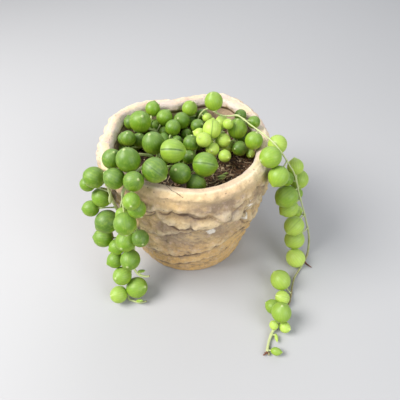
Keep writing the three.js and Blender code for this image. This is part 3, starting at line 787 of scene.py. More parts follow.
def tube(line, radii, sides):
    """A closed tube through points, with its own radius at each."""
    line = np.asarray(line, float)
    radii = np.broadcast_to(radii, len(line))
    headings = np.gradient(line, axis=0)
    headings /= np.linalg.norm(headings, axis=1)[:, None]
    side = np.cross(headings[0], (0.3, 0.2, 0.93))
    points = []
    angles = np.arange(sides) * 2 * math.pi / sides
    for place, heading, radius in zip(line, headings, radii):
        side = side - heading * (side @ heading)
        side = side / np.linalg.norm(side)
        other = np.cross(heading, side)
        ring = np.cos(angles)[:, None] * side + np.sin(angles)[:, None] * other
        points.append(place + ring * radius)
    ends = (line[0] - headings[0] * radii[0] * 0.5, line[-1] + headings[-1] * radii[-1] * 0.5)
    return np.concatenate([*points, ends]), closed_faces(len(line), sides)


class Gathered:
    """Points, faces and values of many small meshes that become one object."""

    def __init__(self, **usual):
        self.usual = usual
        self.points, self.faces, self.kinds = [], [], []
        self.values = {key: [] for key in usual}
        self.count = 0

    def add(self, points, faces, kind, **values):
        """Adds a mesh of one material, with a value or a row of values under each name."""
        self.points.append(points)
        self.faces += [tuple(self.count + i for i in face) for face in faces]
        self.kinds += [kind] * len(faces)
        self.count += len(points)
        for key, usual in self.usual.items():
            shape = (len(points), *np.shape(usual))
            self.values[key].append(np.broadcast_to(values.get(key, usual), shape))

    def build(self, name):
        values = {key: np.concatenate(parts) for key, parts in self.values.items()}
        return new_mesh_object(name, np.concatenate(self.points), self.faces, values, self.kinds)


def hand_over(piece, node, slot, *materials):
    """The piece stands for a CAD node: it takes these materials and hangs from the root, and the
    node is hidden. The slot is not used.
    """
    for material in materials:
        piece.data.materials.append(material)
    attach(piece, "root")
    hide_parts(node)


# The pot in full detail.

# Pits in the clay: degrees, height, half width and half height.
PITS = (
    (-87, 38.5, 0.8, 0.9), (-82, 35, 1.3, 0.9), (-76.5, 31.5, 1.9, 0.6), (-76, 28.5, 1.1, 0.8),
    (-89, 24, 1.5, 1.2), (-92.5, 60.2, 2.1, 0.7), (-77.5, 60.2, 2.4, 0.6), (-53.5, 60.6, 2.6, 0.7),
    (-44.5, 56.5, 2.4, 1), (-60, 36, 1.1, 0.8), (-108, 30, 1.8, 1), (-20, 42, 1.5, 1),
    (30, 30, 2, 1),
)
# Grooves from one place to another: degrees and height of both ends.
GROOVES = (
    (-86.4, 57, -86, 46.5), (-76, 3.5, -69, 11.5), (-69, 57.5, -57, 60.5), (-108, 50, -98, 41),
)
# Where the clay is browner: degrees, height, half width, half height and strength. The first is
# painted shadow, where the stems that trail over the left of the wall shade it.
SHADED = (
    (-123, 52, 8, 7, 0.9), (-112, 44, 6, 4, 0.5), (-94, 13, 6, 2, 0.4), (-69, 11.5, 5, 2, 0.4),
)
# Where the clay is smooth between the folds: degrees, height, half width and half height.
SMOOTH = (-63, 37.5, 8, 6)
# For each row of folds: how dark the painted shade in its crease is, how strong it stays where the
# clay is worn, how far the row swells, and half the crease's width. The first row runs smoothly
# into the rim.
CREASES = (
    (0, 0, 0, 1), (0.75, 0.45, 1, 0.75), (0.8, 0.4, 1, 0.75), (0.75, 0.4, 1, 0.75),
    (1.3, 1, 0.7, 1.15), (1.15, 0.9, 0.6, 1),
)
# The same for every row at the back: how dark, how strong where worn, and half the width.
BACK_CREASE = (0.75, 0.4, 0.75)
# Painted glints, pale and glossier spots that stand for highlights on the glaze: degrees, height,
# half width and half height.
GLINTS = (
    (-48.5, 51.9, 1, 0.4), (-45.6, 50.6, 1.5, 0.35), (-43, 49.6, 1, 0.3), (-44.6, 52.4, 0.4, 0.3),
    (-47.8, 43.4, 1.6, 1.9), (-72.4, 40.8, 1.7, 1.9), (-74.8, 41.8, 1, 0.6),
)

# The side that the photograph shows: the degrees where it begins, is full, fades and ends.
SEEN = (-136, -122, -46, -34)
# Millimetres round the wall for one degree, at a middling height.
ROUND = 36 * math.pi / 180

# The rings of the pot's mesh: radii on the underside and on the floor inside, heights inside, and
# the height and pull of the ring where the wall turns into the floor.
UNDER_RINGS = (8, 18, 26)
FLOOR_RINGS = (20, 10)
INSIDE_RINGS = (59, 58, 57, 56, 55, 54, 53, 52, 51, 49, 46, 40, 25, 14)
TURN_RING = (9, 1.2)

# Zones of the pot.
OUTSIDE, RIM_TOP, INSIDE = 0, 1, 2


def aside_of(degrees, angle):
    """Distance round the pot from an angle, in millimetres."""
    return ((degrees - angle + 180) % 360 - 180) * ROUND


def away_from(degrees, heights, angle, height, half_width, half_height):
    """How far each point is from the middle of an oval on the wall: 1 at its edge."""
    return np.hypot(aside_of(degrees, angle) / half_width, (heights - height) / half_height)


def largest(parts, most):
    """The largest of many arrays, point by point."""
    for part in parts:
        most = np.maximum(most, part)
    return most


def fold_marks(degrees, heights, sideways, lift, worn, seen):
    """For each row of folds: how far out it is, the painted shade in its crease, and the painted
    shade and brown stain about it.
    """
    whole = 1 - 0.95 * bell(away_from(degrees, heights, *SMOOTH), 0.9)
    for (proud, fade, edge), (dark, least, swell, wide) in zip(FOLDS, CREASES):
        if not dark:
            continue
        dark, least, wide = (
            back + (front - back) * seen for back, front in zip(BACK_CREASE, (dark, least, wide)))
        strong = np.maximum(np.clip(worn, least, 1.3), 0.75 * seen) * whole
        height, across, sag, span = edge_places(edge, degrees + sideways)
        above = heights - height - lift - 0.6
        lobed = np.clip(sag / 3, 0, 1)
        pillow = 1 - 0.35 * lobed * (1 - np.sin(np.pi * across) ** 0.6)
        line = 1 - 0.4 * lobed * (1 - smooth_step(0, 0.5, 4 * across * (1 - across)))
        under = np.clip((above + 1) / 2.4, 0, 1)
        rise = np.sqrt(1 - (1 - under) ** 2)
        fall = 0.5 + 0.5 * np.cos(np.pi * np.clip((above - 1) / (0.75 * fade), 0, 1))
        bulge = 1.45 * proud * swell * pillow * (0.6 + 0.4 * strong)
        below = above + 0.85 + 0.5 * bulge + 0.35 * wide
        sunk = dark * strong * (0.3 * bell(below, 0.7) + 0.25 * bell(below + 0.8, 1.3))
        line = line * dark * strong
        around = bell(below + 0.4, np.where(below < -0.4, 2.2, 1.2))
        yield bulge * rise * fall - sunk, line * bell(below + 0.35, wide), line * around
        # The notch between two lobes: its depth, with painted shade in it and about it.
        beside = np.minimum(across, 1 - across) * span * ROUND
        notch = bell(beside, 1.1) * lobed * smooth_step(-1, 0.2, above)
        notch *= np.clip(1 - above / 3.2, 0, 1) * np.clip(strong - 0.4, 0, 1)
        yield -0.2 * notch, 0.15 * notch, 0.5 * notch


def small_marks(degrees, heights, sideways, lift):
    """The same for each pit, groove and brown place; the first brown place is painted shadow."""
    for pit in PITS:
        away = away_from(degrees, heights + 0.3 * lift, *pit)
        yield -0.75 * min(pit[2:]) * bell(away, 1), 0.55 * bell(away, 0.6), bell(away, 1.15)
    for angle, height, far_angle, far_height in GROOVES:
        t = np.clip((height - heights) / (height - far_height), 0, 1)
        aside = aside_of(degrees + sideways * 0.5, angle + (far_angle - angle) * t)
        groove = bell(np.hypot(aside, heights - (height + (far_height - height) * t)), 0.55)
        yield -0.25 * groove, 0.3 * groove, 0.7 * groove
    for *oval, strength in SHADED:
        yield 0, 0, strength * bell(away_from(degrees, heights, *oval) + 0.3 * lift, 1)


def fold_detail(points, degrees, heights):
    """Depth of the folds, the painted shade in their creases and the painted shade and stains
    about them, for the outside.
    """
    begins, full, fades, ends = SEEN
    seen = smooth_step(begins, full, degrees) * (1 - smooth_step(fades, ends, degrees))
    free = 1 - 0.75 * seen
    sideways = (blobs(points, 13, 5.2) * 2.8 + blobs(points, 4, 3.3) * 1.2) * free
    lift = (blobs(points * (1, 1, 0.5), 8, 9.4) + blobs(points, 3.5, 8.8) * 0.4) * free
    worn = 0.9 + 1.1 * blobs(points, 12, 2.6) * (1 - 0.4 * seen)
    marks = [
        *fold_marks(degrees, heights, sideways, lift, worn, seen),
        *small_marks(degrees, heights, sideways, lift),
    ]
    depths, crease_shades, shades_and_stains = zip(*marks)
    nothing = np.zeros_like(lift)
    return sum(depths, nothing), largest(crease_shades, nothing), largest(shades_and_stains, nothing)


def glint_spots(degrees, heights):
    """How far inside a painted glint each point is: 1 in its middle, 0.5 at its edge."""
    depths = [1 - 0.5 * away_from(degrees, heights, *oval) for oval in GLINTS]
    return largest(depths, np.zeros_like(heights))


def pot_rows(columns, row_step):
    """The pot's half sections: radius and height of each row, with the row's zone."""
    degrees = np.arange(columns) * 360 / columns - 180
    mouth = np.array([mouth_radius(d) for d in degrees])
    rows = [(radius, 0, OUTSIDE) for radius in UNDER_RINGS]
    for turn in np.linspace(0, math.pi / 2, 4)[:-1]:
        radius = FOOT_RADIUS - FOOT_ROUND * (1 - math.sin(turn))
        rows.append((radius, FOOT_ROUND * (1 - math.cos(turn)), OUTSIDE))
    wall = np.arange(FOOT_ROUND, RIM[0][1], row_step)
    rows += [(wall_radius(mouth, z), z, OUTSIDE) for z in wall]
    rim = stem_line([(*point, 0) for point in RIM], steps=5)
    rows += [(mouth + out, z, RIM_TOP) for out, z, _ in rim]
    rows += [(wall_radius(mouth, z) - WALL, z, INSIDE) for z in INSIDE_RINGS]
    turn, pull = TURN_RING
    rows.append((wall_radius(mouth, turn) - WALL - pull, turn, INSIDE))
    rows += [(radius, FLOOR, INSIDE) for radius in FLOOR_RINGS]
    radii, heights, zones = zip(*rows)
    radius = np.array([np.broadcast_to(part, columns) for part in radii])
    height = np.array([np.broadcast_to(part, columns) for part in heights])
    return degrees, mouth, radius, height, np.array(zones)[:, None]


def clay_noise(points, height):
    """Broad and middling lumps, the sum of all lumps, long wrinkles in swags, and short curls."""
    swag = points.copy()
    swag[..., 2] = (height - 0.3 * np.sqrt(swag[..., 0] ** 2 + 25)) * 2.6
    broad = blobs(points, 12, 3.1)
    middling = blobs(points * (1, 1, 1.5), 5.5, 7.7)
    small = blobs(points * (1, 1, 1.3), 2.4, 1.9)
    rough = 0.7 * broad + 1.0 * middling + 0.8 * small + 0.36 * blobs(points, 1.2, 4.4)
    wrinkles = bell(blobs(swag, 8, 12.3), 0.1) * smooth_step(-0.15, 0.3, middling + broad)
    curls = bell(blobs(points * (1, 1, 1.5), 4.2, 8.3), 0.09)
    curls *= smooth_step(-0.05, 0.2, blobs(points, 7, 6.6))
    return broad, middling, rough, wrinkles * (height > 27), curls


def rim_marks(out, height, zone, broad, middling):
    """The ridge along the rim's top, pale with painted highlight, the band inside it and the slope
    inside that.
    """
    wavy = out + 0.5 * broad
    on_top = smooth_step(62.8, 63.8, height) * (zone == RIM_TOP)
    edge = bell(wavy + 2.1, 0.6) * on_top * (0.8 + 0.5 * middling)
    band = (1 - smooth_step(-2.6, -1.8, wavy)) * on_top
    return edge, band, smooth_step(-4.4, -5.8, out) * (height > 60) * (zone != OUTSIDE)


def pot_mesh(settings):
    """The pot's points, faces and the values that its material reads."""
    columns = settings.columns
    degrees, mouth, plain_radius, height, zone = pot_rows(columns, settings.row_step / MM)
    angle = np.radians(degrees)
    turned = np.cos(angle), np.sin(angle)
    plain_pot = np.stack([plain_radius * turned[0], plain_radius * turned[1], height], axis=-1)
    outside = zone == OUTSIDE
    around = np.broadcast_to(degrees, height.shape)
    # Painted glints: pale, glossy spots on the glaze.
    pool = glint_spots(around, height) * outside
    below_rim = smooth_step(0.5, 5, height) * (1 - smooth_step(58.5, 61.8, height))
    on_wall = below_rim * outside
    depth, crease, stain = (part * on_wall for part in fold_detail(plain_pot, around, height))

    broad, middling, rough, wrinkles, curls = clay_noise(plain_pot, height)
    wrinkles, curls = wrinkles * on_wall, curls * on_wall
    even = np.where(outside, 1 - 0.45 * smooth_step(56, 62.2, height), 0.55) * (height >= 1)
    full = np.maximum(below_rim, smooth_step(58, 62, height))
    calm = 1 - 0.6 * np.clip(stain, 0, 1)
    uneven = settings.lumps / MM * rough * even * (0.45 + 0.55 * full) * calm
    uneven -= 0.4 * wrinkles + 0.28 * curls
    # Raised places: worn and pale, and also painted highlight.
    raised = np.clip((depth + 2 * uneven) / 2.6, 0, 1)
    # Painted shade in the hollows, and with the wrinkles and curls, goes into the shade and stain
    # values.
    hollow_shade = np.clip(-0.2 - 1.6 * uneven - 0.4 * depth, 0, 1) * on_wall
    stain = largest((0.7 * wrinkles, 0.6 * curls, hollow_shade), stain)

    turn = degrees % 360
    back = smooth_step(70, 105, turn) * (1 - smooth_step(205, 230, turn))
    scallop = np.abs(np.sin(angle * 22 + 2.5 * broad)) * (0.25 + 0.75 * back)
    lip = bell(height - 62.6, 1.8) * (plain_radius > mouth - 2.2) * (zone != INSIDE)
    radius = plain_radius + depth + uneven + (0.85 * scallop - 0.4 * back) * lip
    radius += 0.2 * smooth_step(54, 62, height) * outside

    edge, band, bevel = rim_marks(plain_radius - mouth, height, zone, broad, middling)
    # Painted shade: a thin dark line under the rim's inner lip, and darker wrinkles and curls,
    # through the crease values.
    lip_shadow = bell(height - 59.6, 0.7) * (zone != OUTSIDE)
    crease = largest((0.25 * wrinkles, 0.42 * curls, 0.9 * lip_shadow), crease)
    above_wall = smooth_step(62.2, 64, height) * (zone == RIM_TOP)
    height = height + above_wall * (0.7 * uneven + 0.3 * middling) + 0.22 * edge - 0.12 * band

    x, y = radius * turned[0] + middle_at(height), radius * turned[1]
    points = np.stack([x, y, height], axis=-1).reshape(-1, 3)
    points = np.concatenate([points, [[0, 0, 0], [middle_at(FLOOR), 0, FLOOR]]])
    parts = {
        "crease": crease, "stain": stain, "pool": pool, "bevel": bevel, "edge": edge,
        "band": band, "raised": raised,
    }
    values = {key: np.append(part, [0, 0]) for key, part in parts.items()}
    values["zone"] = np.append(np.repeat(zone, columns), [OUTSIDE, INSIDE])
    return points, closed_faces(len(zone), columns), values


# Colours of small places on the pot: the rim's milky purple stains, the inner part of its top at
# the front, the clay beside the crack, the painted highlight along the ridge on its top, its inner
# slope, the pores and the painted glints on the glaze.
LILAC = (0.58, 0.5, 0.5, 1)
FRONT_BAND = (0.56, 0.395, 0.27, 1)
BESIDE_CRACK = (0.43, 0.37, 0.37, 1)
RIDGE_HIGHLIGHT = (0.88, 0.77, 0.57, 1)
INNER_SLOPE = (0.7, 0.6, 0.57, 1)
PORE = (0.36, 0.22, 0.2, 1)
GLINT_WHITE = (0.95, 0.87, 0.74, 1)

# The hairline crack across the front of the rim, as points on its top.
CRACK = ((-8.3, -28.8), (-6.7, -30.8), (-5.2, -32.9), (-1.3, -35.5))


def crack_mask(paint, place):
    """Where a surface is within a hair of the crack, seen from above."""
    wander = paint.noise(1.5 * MM, 2, 0.5) - 0.5
    across, along = paint.part(place, 0), paint.part(place, 1)
    high = paint.smooth(paint.part(place, 2), 59 * MM, 61 * MM)
    mask = 0
    for (x1, y1), (x2, y2) in zip(CRACK, CRACK[1:]):
        length = math.hypot(x2 - x1, y2 - y1)
        ux, uy = (x2 - x1) / length, (y2 - y1) / length
        ahead = (across - x1 * MM) * ux + (along - y1 * MM) * uy
        beside = (across - x1 * MM) * uy - (along - y1 * MM) * ux + wander * (0.9 * MM)
        near = 1 - paint.smooth(paint.calculate("ABSOLUTE", beside), 0.05 * MM, 0.16 * MM)
        begun = paint.smooth(ahead, -0.1 * MM, 0.1 * MM)
        ended = paint.smooth(ahead, (length - 0.1) * MM, (length + 0.1) * MM)
        mask = near * begun * (1 - ended) + mask
    return mask * high


def rim_colour(paint, settings, place, mottle):
    """Cream and pink clay on the rim, with painted highlight on its ridge and a browner band
    inside it.
    """
    clay, rim_clay, pink = colours_of(settings, "clay", "rim", "pink")
    band, edge, bevel = (paint.attribute(name) for name in ("band", "edge", "bevel"))
    pinks = paint.smooth(paint.noise(8 * MM, 3, 0.5), 0.44, 0.6)
    lilac = paint.smooth(paint.noise(6 * MM, 2, 0.5), 0.56, 0.66)
    front = paint.smooth(0 - paint.part(place, 1), 17 * MM, 31 * MM)
    near_crack = paint.smooth(0 - paint.part(place, 0), 2 * MM, 10 * MM) * front
    return paint.layers(
        rim_clay,
        (pinks * 0.85, pink),
        (paint.smooth(mottle, 0.5, 0.75) * 0.35, clay),
        (lilac * 0.5, LILAC),
        (band * front * (0.55 + 0.4 * mottle), FRONT_BAND),
        ((1 - band) * front * (0.5 + 0.4 * mottle), clay),
        (near_crack * (0.25 + lilac * 0.6) * band, BESIDE_CRACK),
        # Painted highlight along the rim's ridge.
        (edge * 0.7, RIDGE_HIGHLIGHT),
        (bevel * (0.4 + 0.6 * mottle), INNER_SLOPE),
    )


def clay_material(settings):
    """Tan clay under a thin glaze, with painted shade in and below its creases, painted highlights
    on raised places and painted glints, worn pink on the rim.
    """
    paint = Paint("glazed_clay")
    clay, shade, warm, light, pink, dark = colours_of(
        settings, "clay", "shade", "warm", "light", "pink", "crease")
    crease, stain, raised, zone, pool = (
        paint.attribute(name) for name in ("crease", "stain", "raised", "zone", "pool"))
    place = paint.place()
    side, height = paint.part(place, 0), paint.part(place, 2)
    patches = paint.noise(13 * MM, 4, 0.6)
    mottle = paint.noise(4 * MM, 5, 0.65)
    grain = paint.noise(0.9 * MM, 4, 0.7)

    low = 1 - paint.smooth(height + (patches - 0.5) * (30 * MM) - side * 0.35, 16 * MM, 36 * MM)
    plum = paint.smooth(paint.noise(3 * MM, 3, 0.55), 0.57, 0.66)
    on_rim = paint.smooth(height + (mottle - 0.5) * (4 * MM), 59.5 * MM, 63.2 * MM)
    specks = 1 - paint.smooth(paint.cells(1.9 * MM), 0.1, 0.2)
    pores = specks * paint.smooth(paint.noise(4 * MM, 2, 0.5), 0.46, 0.56)
    dots = 1 - paint.smooth(paint.cells(1.1 * MM), 0.12, 0.26)
    noisy_shade_and_stain = stain + (mottle - 0.5) * 0.8
    crack = crack_mask(paint, place)
    # Painted glints: where the glaze is painted white and made glossier.
    glint_spot = paint.smooth(pool + (grain - 0.5) * 0.6, 0.4, 0.6)
    umber = paint.mix(0.4, dark, PORE)
    body = paint.layers(
        shade,
        (paint.smooth(patches, 0.4, 0.6), clay),
        (low * 0.85, warm),
        (paint.smooth(mottle, 0.48, 0.7) * 0.45, shade),
        # Raised places paler: worn edges and painted highlight.
        (paint.smooth(raised + (mottle - 0.5) * 0.5, 0.35, 1) * 0.6, light),
        (plum * 0.3, pink),
        (on_rim, rim_colour(paint, settings, place, mottle)),
        (paint.smooth(zone, 1.2, 1.9) * 0.7, paint.mix(0.15 + 0.3 * mottle, pink, dark)),
        (pores * 0.7, umber),
        (dots * paint.smooth(noisy_shade_and_stain, 0.1, 0.6) * 0.55, umber),
        (paint.smooth(grain, 0.5, 0.32) * 0.3, light),
        (paint.smooth(grain, 0.52, 0.7) * 0.45, shade),
        # Painted shade below the folds and in the hollows, painted shadow on the left of the wall,
        # and brown stains.
        (paint.smooth(noisy_shade_and_stain, 0.15, 1) * 0.6, paint.mix(0.45, shade, dark)),
        # Painted shade in the creases, in the pits and under the rim's inner lip.
        (paint.smooth(crease + (grain - 0.5) * 0.3, 0.3, 0.75) * 0.8, dark),
        (crack * 0.75, dark),
        # Painted glints on the glaze.
        (glint_spot * 0.9, GLINT_WHITE),
    )

    hollows = grain * 0.5 + mottle * 0.6 - pores * 0.4 - crack * 0.8
    thin_glaze = (1 - on_rim * 0.75) * paint.smooth(mottle, 0.3, 0.6)
    return paint.finish(
        Base_Color=body,
        Roughness=0.4 + 0.25 * grain + 0.12 * on_rim - 0.3 * glint_spot,
        Coat_Weight=thin_glaze * 0.6 + glint_spot * 0.4,
        Coat_Roughness=0.14,
        Specular_IOR_Level=0.4,
        Normal=paint.bump(hollows, 0.6 * MM, 0.7),
    )


class OBJECT_OT_pearls_pot(bpy.types.Operator):
    """Build the hand-built clay pot"""

    bl_idname = "object.pearls_pot"
    bl_label = "Clay pot"

    def execute(self, context):
        settings = context.scene.pearls_pot
        points, faces, values = pot_mesh(settings)
        pot = new_mesh_object("clay_pot", points, faces, values)
        hand_over(pot, "pot", "pot_clay", clay_material(settings))
        return {"FINISHED"}


# The potting mix.

SOIL_SEED = 23
# Radius of the heap, the gaps between the mix and the pot, and the rings of its mesh: how far out
# the first one on top is, heights beside the wall, and radii underneath.
HEAP_RADIUS = 32
TOP_GAP = 0.3
SIDE_GAP = 0.35
TOP_START = 0.02
SIDE_RINGS = (48, 40, 25, 14, 9.5)
BOTTOM_RINGS = (20, 8)
# How far from the wall chips and fibres stay, and how high above the mix they lie.
CHIP_MARGIN, CHIP_LIFT = 1.6, 0.15
FIBRE_MARGIN, FIBRE_LIFT = 4.5, 0.25


def soil_height(x, y):
    """Height of the potting mix, in millimetres, with crumbs."""
    points = np.stack([x, y, np.zeros_like(x)], axis=-1)
    middle = SOIL_TOP + SOIL_CROWN * (1 - np.hypot(x, y) / HEAP_RADIUS)
    return middle + 0.7 * blobs(points, 5, 1.5) + 0.45 * blobs(points, 1.7, 4.5) - 0.2


def soil_mesh(columns=220, rings=70):
    """A closed plug of potting mix with a crumbly top."""
    degrees = np.arange(columns) * 360 / columns - 180
    mouth = np.array([mouth_radius(d) for d in degrees])
    angle = np.radians(degrees)
    rows = []

    def add_ring(radius, middle, height):
        x, y = radius * np.cos(angle) + middle, radius * np.sin(angle)
        height = soil_height(x, y) if height is None else np.full(columns, height)
        rows.append(np.stack([x, y, height], axis=-1))

    top_radius = wall_radius(mouth, SOIL_TOP) - WALL - TOP_GAP
    for fraction in np.linspace(TOP_START, 1, rings):
        add_ring(top_radius * fraction, middle_at(SOIL_TOP), None)
    turn, pull = TURN_RING
    for height in SIDE_RINGS:
        radius = wall_radius(mouth, height) - WALL - SIDE_GAP - (pull if height < turn + 1 else 0)
        add_ring(radius, middle_at(height), height)
    bottom = FLOOR + SIDE_GAP
    for radius in BOTTOM_RINGS:
        add_ring(radius, 0, bottom)
    ends = [[middle_at(SOIL_TOP), 0, SOIL_TOP + 0.4], [0, 0, bottom]]
    faces = [face[::-1] for face in closed_faces(len(rows), columns)]
    return np.concatenate([*rows, ends]), faces


# A rough little block: eight corners that are drawn out of square for each chip.
BLOCK = np.array([(x, y, z) for x in (-1, 1) for y in (-1, 1) for z in (-1, 1)], float)
BLOCK_FACES = ((0, 1, 3, 2), (4, 6, 7, 5), (0, 4, 5, 1), (2, 3, 7, 6), (0, 2, 6, 4), (1, 5, 7, 3))


def turn_about(axis, angle):
    """A turn about one of the three axes."""
    first, second = (axis + 1) % 3, (axis + 2) % 3
    turn = np.eye(3)
    turn[first, first] = turn[second, second] = math.cos(angle)
    turn[first, second], turn[second, first] = -math.sin(angle), math.sin(angle)
    return turn


def random_turn(rng, tilt):
    """A turn about the vertical after a small random tilt."""
    spin = rng.uniform(0, 2 * math.pi)
    lean_x, lean_y = rng.normal(0, tilt, 2)
    return turn_about(2, spin) @ turn_about(0, lean_x) @ turn_about(1, lean_y)


def soil_spot(rng, margin):
    """A random point on top of the potting mix."""
    angle = rng.uniform(-180, 180)
    limit = float(wall_radius(mouth_radius(angle), SOIL_TOP)) - WALL - margin
    out = limit * math.sqrt(rng.uniform(0, 1))
    x = out * math.cos(math.radians(angle)) + middle_at(SOIL_TOP)
    y = out * math.sin(math.radians(angle))
    return x, y, float(soil_height(np.array([x]), np.array([y]))[0])


def add_chip(gathered, rng):
    """A loose chip of bark: a block out of square, with a tone from dark to pale."""
    size = rng.uniform(0.28, 0.6) * rng.choice([1, 1.6, 2.6], p=[0.58, 0.28, 0.14])
    shape = BLOCK * (size, size * rng.uniform(0.3, 0.6), size * rng.uniform(0.15, 0.35))
    shape = shape * rng.uniform(0.55, 1.15, shape.shape)
    shape = shape @ random_turn(rng, 0.45).T
    x, y, z = soil_spot(rng, CHIP_MARGIN)
    gathered.add(shape + (x, y, z + CHIP_LIFT), BLOCK_FACES, 1, tone=rng.beta(1.1, 1.6))


def add_fibre(gathered, rng, steps=9):
    """A pale thread of coir that lies and curls on the potting mix."""
    x, y, _ = soil_spot(rng, FIBRE_MARGIN)
    length = rng.uniform(2.5, 7)
    turn = rng.uniform(0, 2 * math.pi)
    bend = rng.normal(0, 0.35, steps).cumsum() * 0.5 + turn
    moves = np.stack([np.cos(bend), np.sin(bend)], axis=1) * length / steps
    flat = np.concatenate([[[0, 0]], moves.cumsum(0)]) + (x, y)
    arch = 0.3 * np.sin(np.linspace(0, math.pi, steps + 1))
    height = soil_height(flat[:, 0], flat[:, 1]) + FIBRE_LIFT + arch
    points, faces = tube(np.column_stack([flat, height]), rng.uniform(0.1, 0.22), 5)
    gathered.add(points, faces, 1, tone=rng.uniform(0.55, 1))


def soil_material(settings):
    """Damp peat, nearly black, with small brown crumbs; painted shade darkens it towards -X, under
    the crown.
    """
    paint = Paint("potting_mix")
    dark, brown = colours_of(settings, "dark", "brown")
    crumbs = paint.noise(1.1 * MM, 5, 0.7)
    clods = paint.noise(4 * MM, 3, 0.6)
    # Painted shade under the leaves: fewer brown crumbs show towards -X.
    unshaded = paint.smooth(paint.part(paint.place(), 0), 2 * MM, 9 * MM)
    return paint.finish(
        Base_Color=paint.mix(paint.smooth(crumbs, 0.4, 0.62) * (0.35 + 0.5 * unshaded), dark, brown),
        Roughness=0.7 + 0.25 * clods,
        Normal=paint.bump(crumbs + clods * 0.5, 0.9 * MM, 0.9),
    )


def bark_material(settings):
    """Bark chips and fibres, each with its own tone."""
    paint = Paint("bark")
    dark, brown, pale = colours_of(settings, "dark", "brown", "pale")
    tone = paint.attribute("tone")
    streaks = paint.noise(0.8 * MM, 4, 0.7, paint.stretched((1, 0.3, 1)))
    colour = paint.layers(
        dark,
        (paint.smooth(tone, 0, 0.35), brown),
        (paint.smooth(tone, 0.35, 1) * 0.9, pale),
        (paint.smooth(streaks, 0.45, 0.8) * 0.5, dark),
    )
    return paint.finish(
        Base_Color=colour,
        Roughness=0.75 + 0.2 * streaks,
        Normal=paint.bump(streaks, 0.3 * MM, 0.7),
    )


class OBJECT_OT_pearls_soil(bpy.types.Operator):
    """Fill the pot with potting mix"""

    bl_idname = "object.pearls_soil"
    bl_label = "Potting mix"

    def execute(self, context):
        settings = context.scene.pearls_soil
        rng = np.random.default_rng(SOIL_SEED)
        gathered = Gathered(tone=0)
        gathered.add(*soil_mesh(), 0)
        for _ in range(settings.chips):
            add_chip(gathered, rng)
        for _ in range(settings.fibres):
            add_fibre(gathered, rng)
        soil = gathered.build("potting_mix")
        skins = soil_material(settings), bark_material(settings)
        hand_over(soil, "soil", "potting_mix", *skins)
        return {"FINISHED"}


# Leaves and stems in full detail.

LEAF_SEED = 11
# Degrees from a leaf's stalk to each ring of its mesh, closer together at both ends.
LEAF_RINGS = (2, 6, 12, *np.arange(20, 160, 7.5), 162, 168, 172.5, 176, 178.4)
# Where a leaf's window looks, and how far the tip of a leaf whose window shows leans forwards.
WINDOW = np.array((0.0, -0.45, 0.9))
TIP_FORWARDS = 0.12
# Faces round a stem, a stalk, an air root and a scrap, and the seams along the thin ones.
STEM_SIDES, STALK_SIDES, ROOT_SIDES, SCRAP_SIDES = 12, 9, 7, 9
STALK_STEPS, ROOT_STEPS, SCRAP_STEPS = 9, 12, 9
# The slot given for a stem's leaves. All other stems are given the usual one.
USUAL_SLOT = "crown_leaf"
SLOTS = {"trail_right": "trail_leaf", "crown_young": "young_leaf"}

# Colours of a leaf: what its paler blotches and lines are mixed with, what its lower side is mixed
# with as painted shade and glow, and the slit of its window.
SUNLIT = (0.5, 0.62, 0.004, 1)
LOWER_SIDE_SHADE_GLOW = (0.32, 0.39, 0.003, 1)
SLIT = (0.03, 0.06, 0.012, 1)


def leaf_shape(around, tip, radius, pointed):
    """A leaf about its own middle: points and unit directions, with +Z out to its tip."""
    turns = np.radians(LEAF_RINGS)[:, None]
    angles = np.arange(around) * 2 * math.pi / around
    out, up = np.sin(turns), np.broadcast_to(-np.cos(turns), (len(turns), around))
    rings = np.stack([out * np.cos(angles), out * np.sin(angles), up], axis=-1)
    directions = np.concatenate([rings.reshape(-1, 3), [[0, 0, -1], [0, 0, 1]]])
    up = directions[:, 2]
    swell = 1 + 0.03 * pointed * smooth_step(0.55, 1, up) - 0.025 * smooth_step(0.8, 1, -up)
    points = directions * radius * swell[:, None]
    sharp = smooth_step(0.94, 1, up) ** 1.5 + smooth_step(0.995, 1, up) * 0.6
    points[:, 2] += tip * min(1, radius / 3) * (0.35 + 0.65 * pointed) * sharp
    return points, directions, closed_faces(len(turns), around)


def leaf_axes(outward, rng, slit_hour):
    """Three axes for a leaf: +Z out to the tip and +X to the side where its window is.

    A leaf whose window shows points its tip to an hour, seen from the camera.
    """
    window = WINDOW
    angle = rng.normal(0, 0.6)
    if slit_hour is not None:
        turn = math.radians(slit_hour * 30)
        right = np.array((1, 0, 0))
        up = np.cross(TWELVE, right)
        outward = right * math.sin(turn) + up * math.cos(turn) + TWELVE * TIP_FORWARDS
        outward /= np.linalg.norm(outward)
        window, angle = TWELVE, 0
    window = window - outward * (window @ outward)
    window /= np.linalg.norm(window) + 1e-9
    across = np.cross(outward, window)
    window, across = (
        window * math.cos(angle) + across * math.sin(angle),
        across * math.cos(angle) - window * math.sin(angle),
    )
    return np.stack([window, across, outward], axis=1)


def stem_radii(line, roots, strand):
    """Radius along a stem, with a small swelling at each stalk, and how dry it is."""
    distance = distances(line)
    from_end = distance[-1] - distance
    at, width = zip(*strand.get("widths", ((0, 0.6),)))
    radii = np.interp(distance, at, width) * (0.85 + 0.15 * smooth_step(0, 20, from_end))
    for root in roots:
        radii += 0.14 * bell(np.linalg.norm(line - root, axis=1), 1.1)
    dry_tip = strand.get("dry_tip", 0.1)
    at, woody = zip(*strand.get("woody", ((0, 0),)))
    dry = np.maximum(np.clip(1 - from_end / dry_tip, 0, 1), np.interp(distance, at, woody))
    return radii * np.where(from_end < 1, 0.8, 1), dry


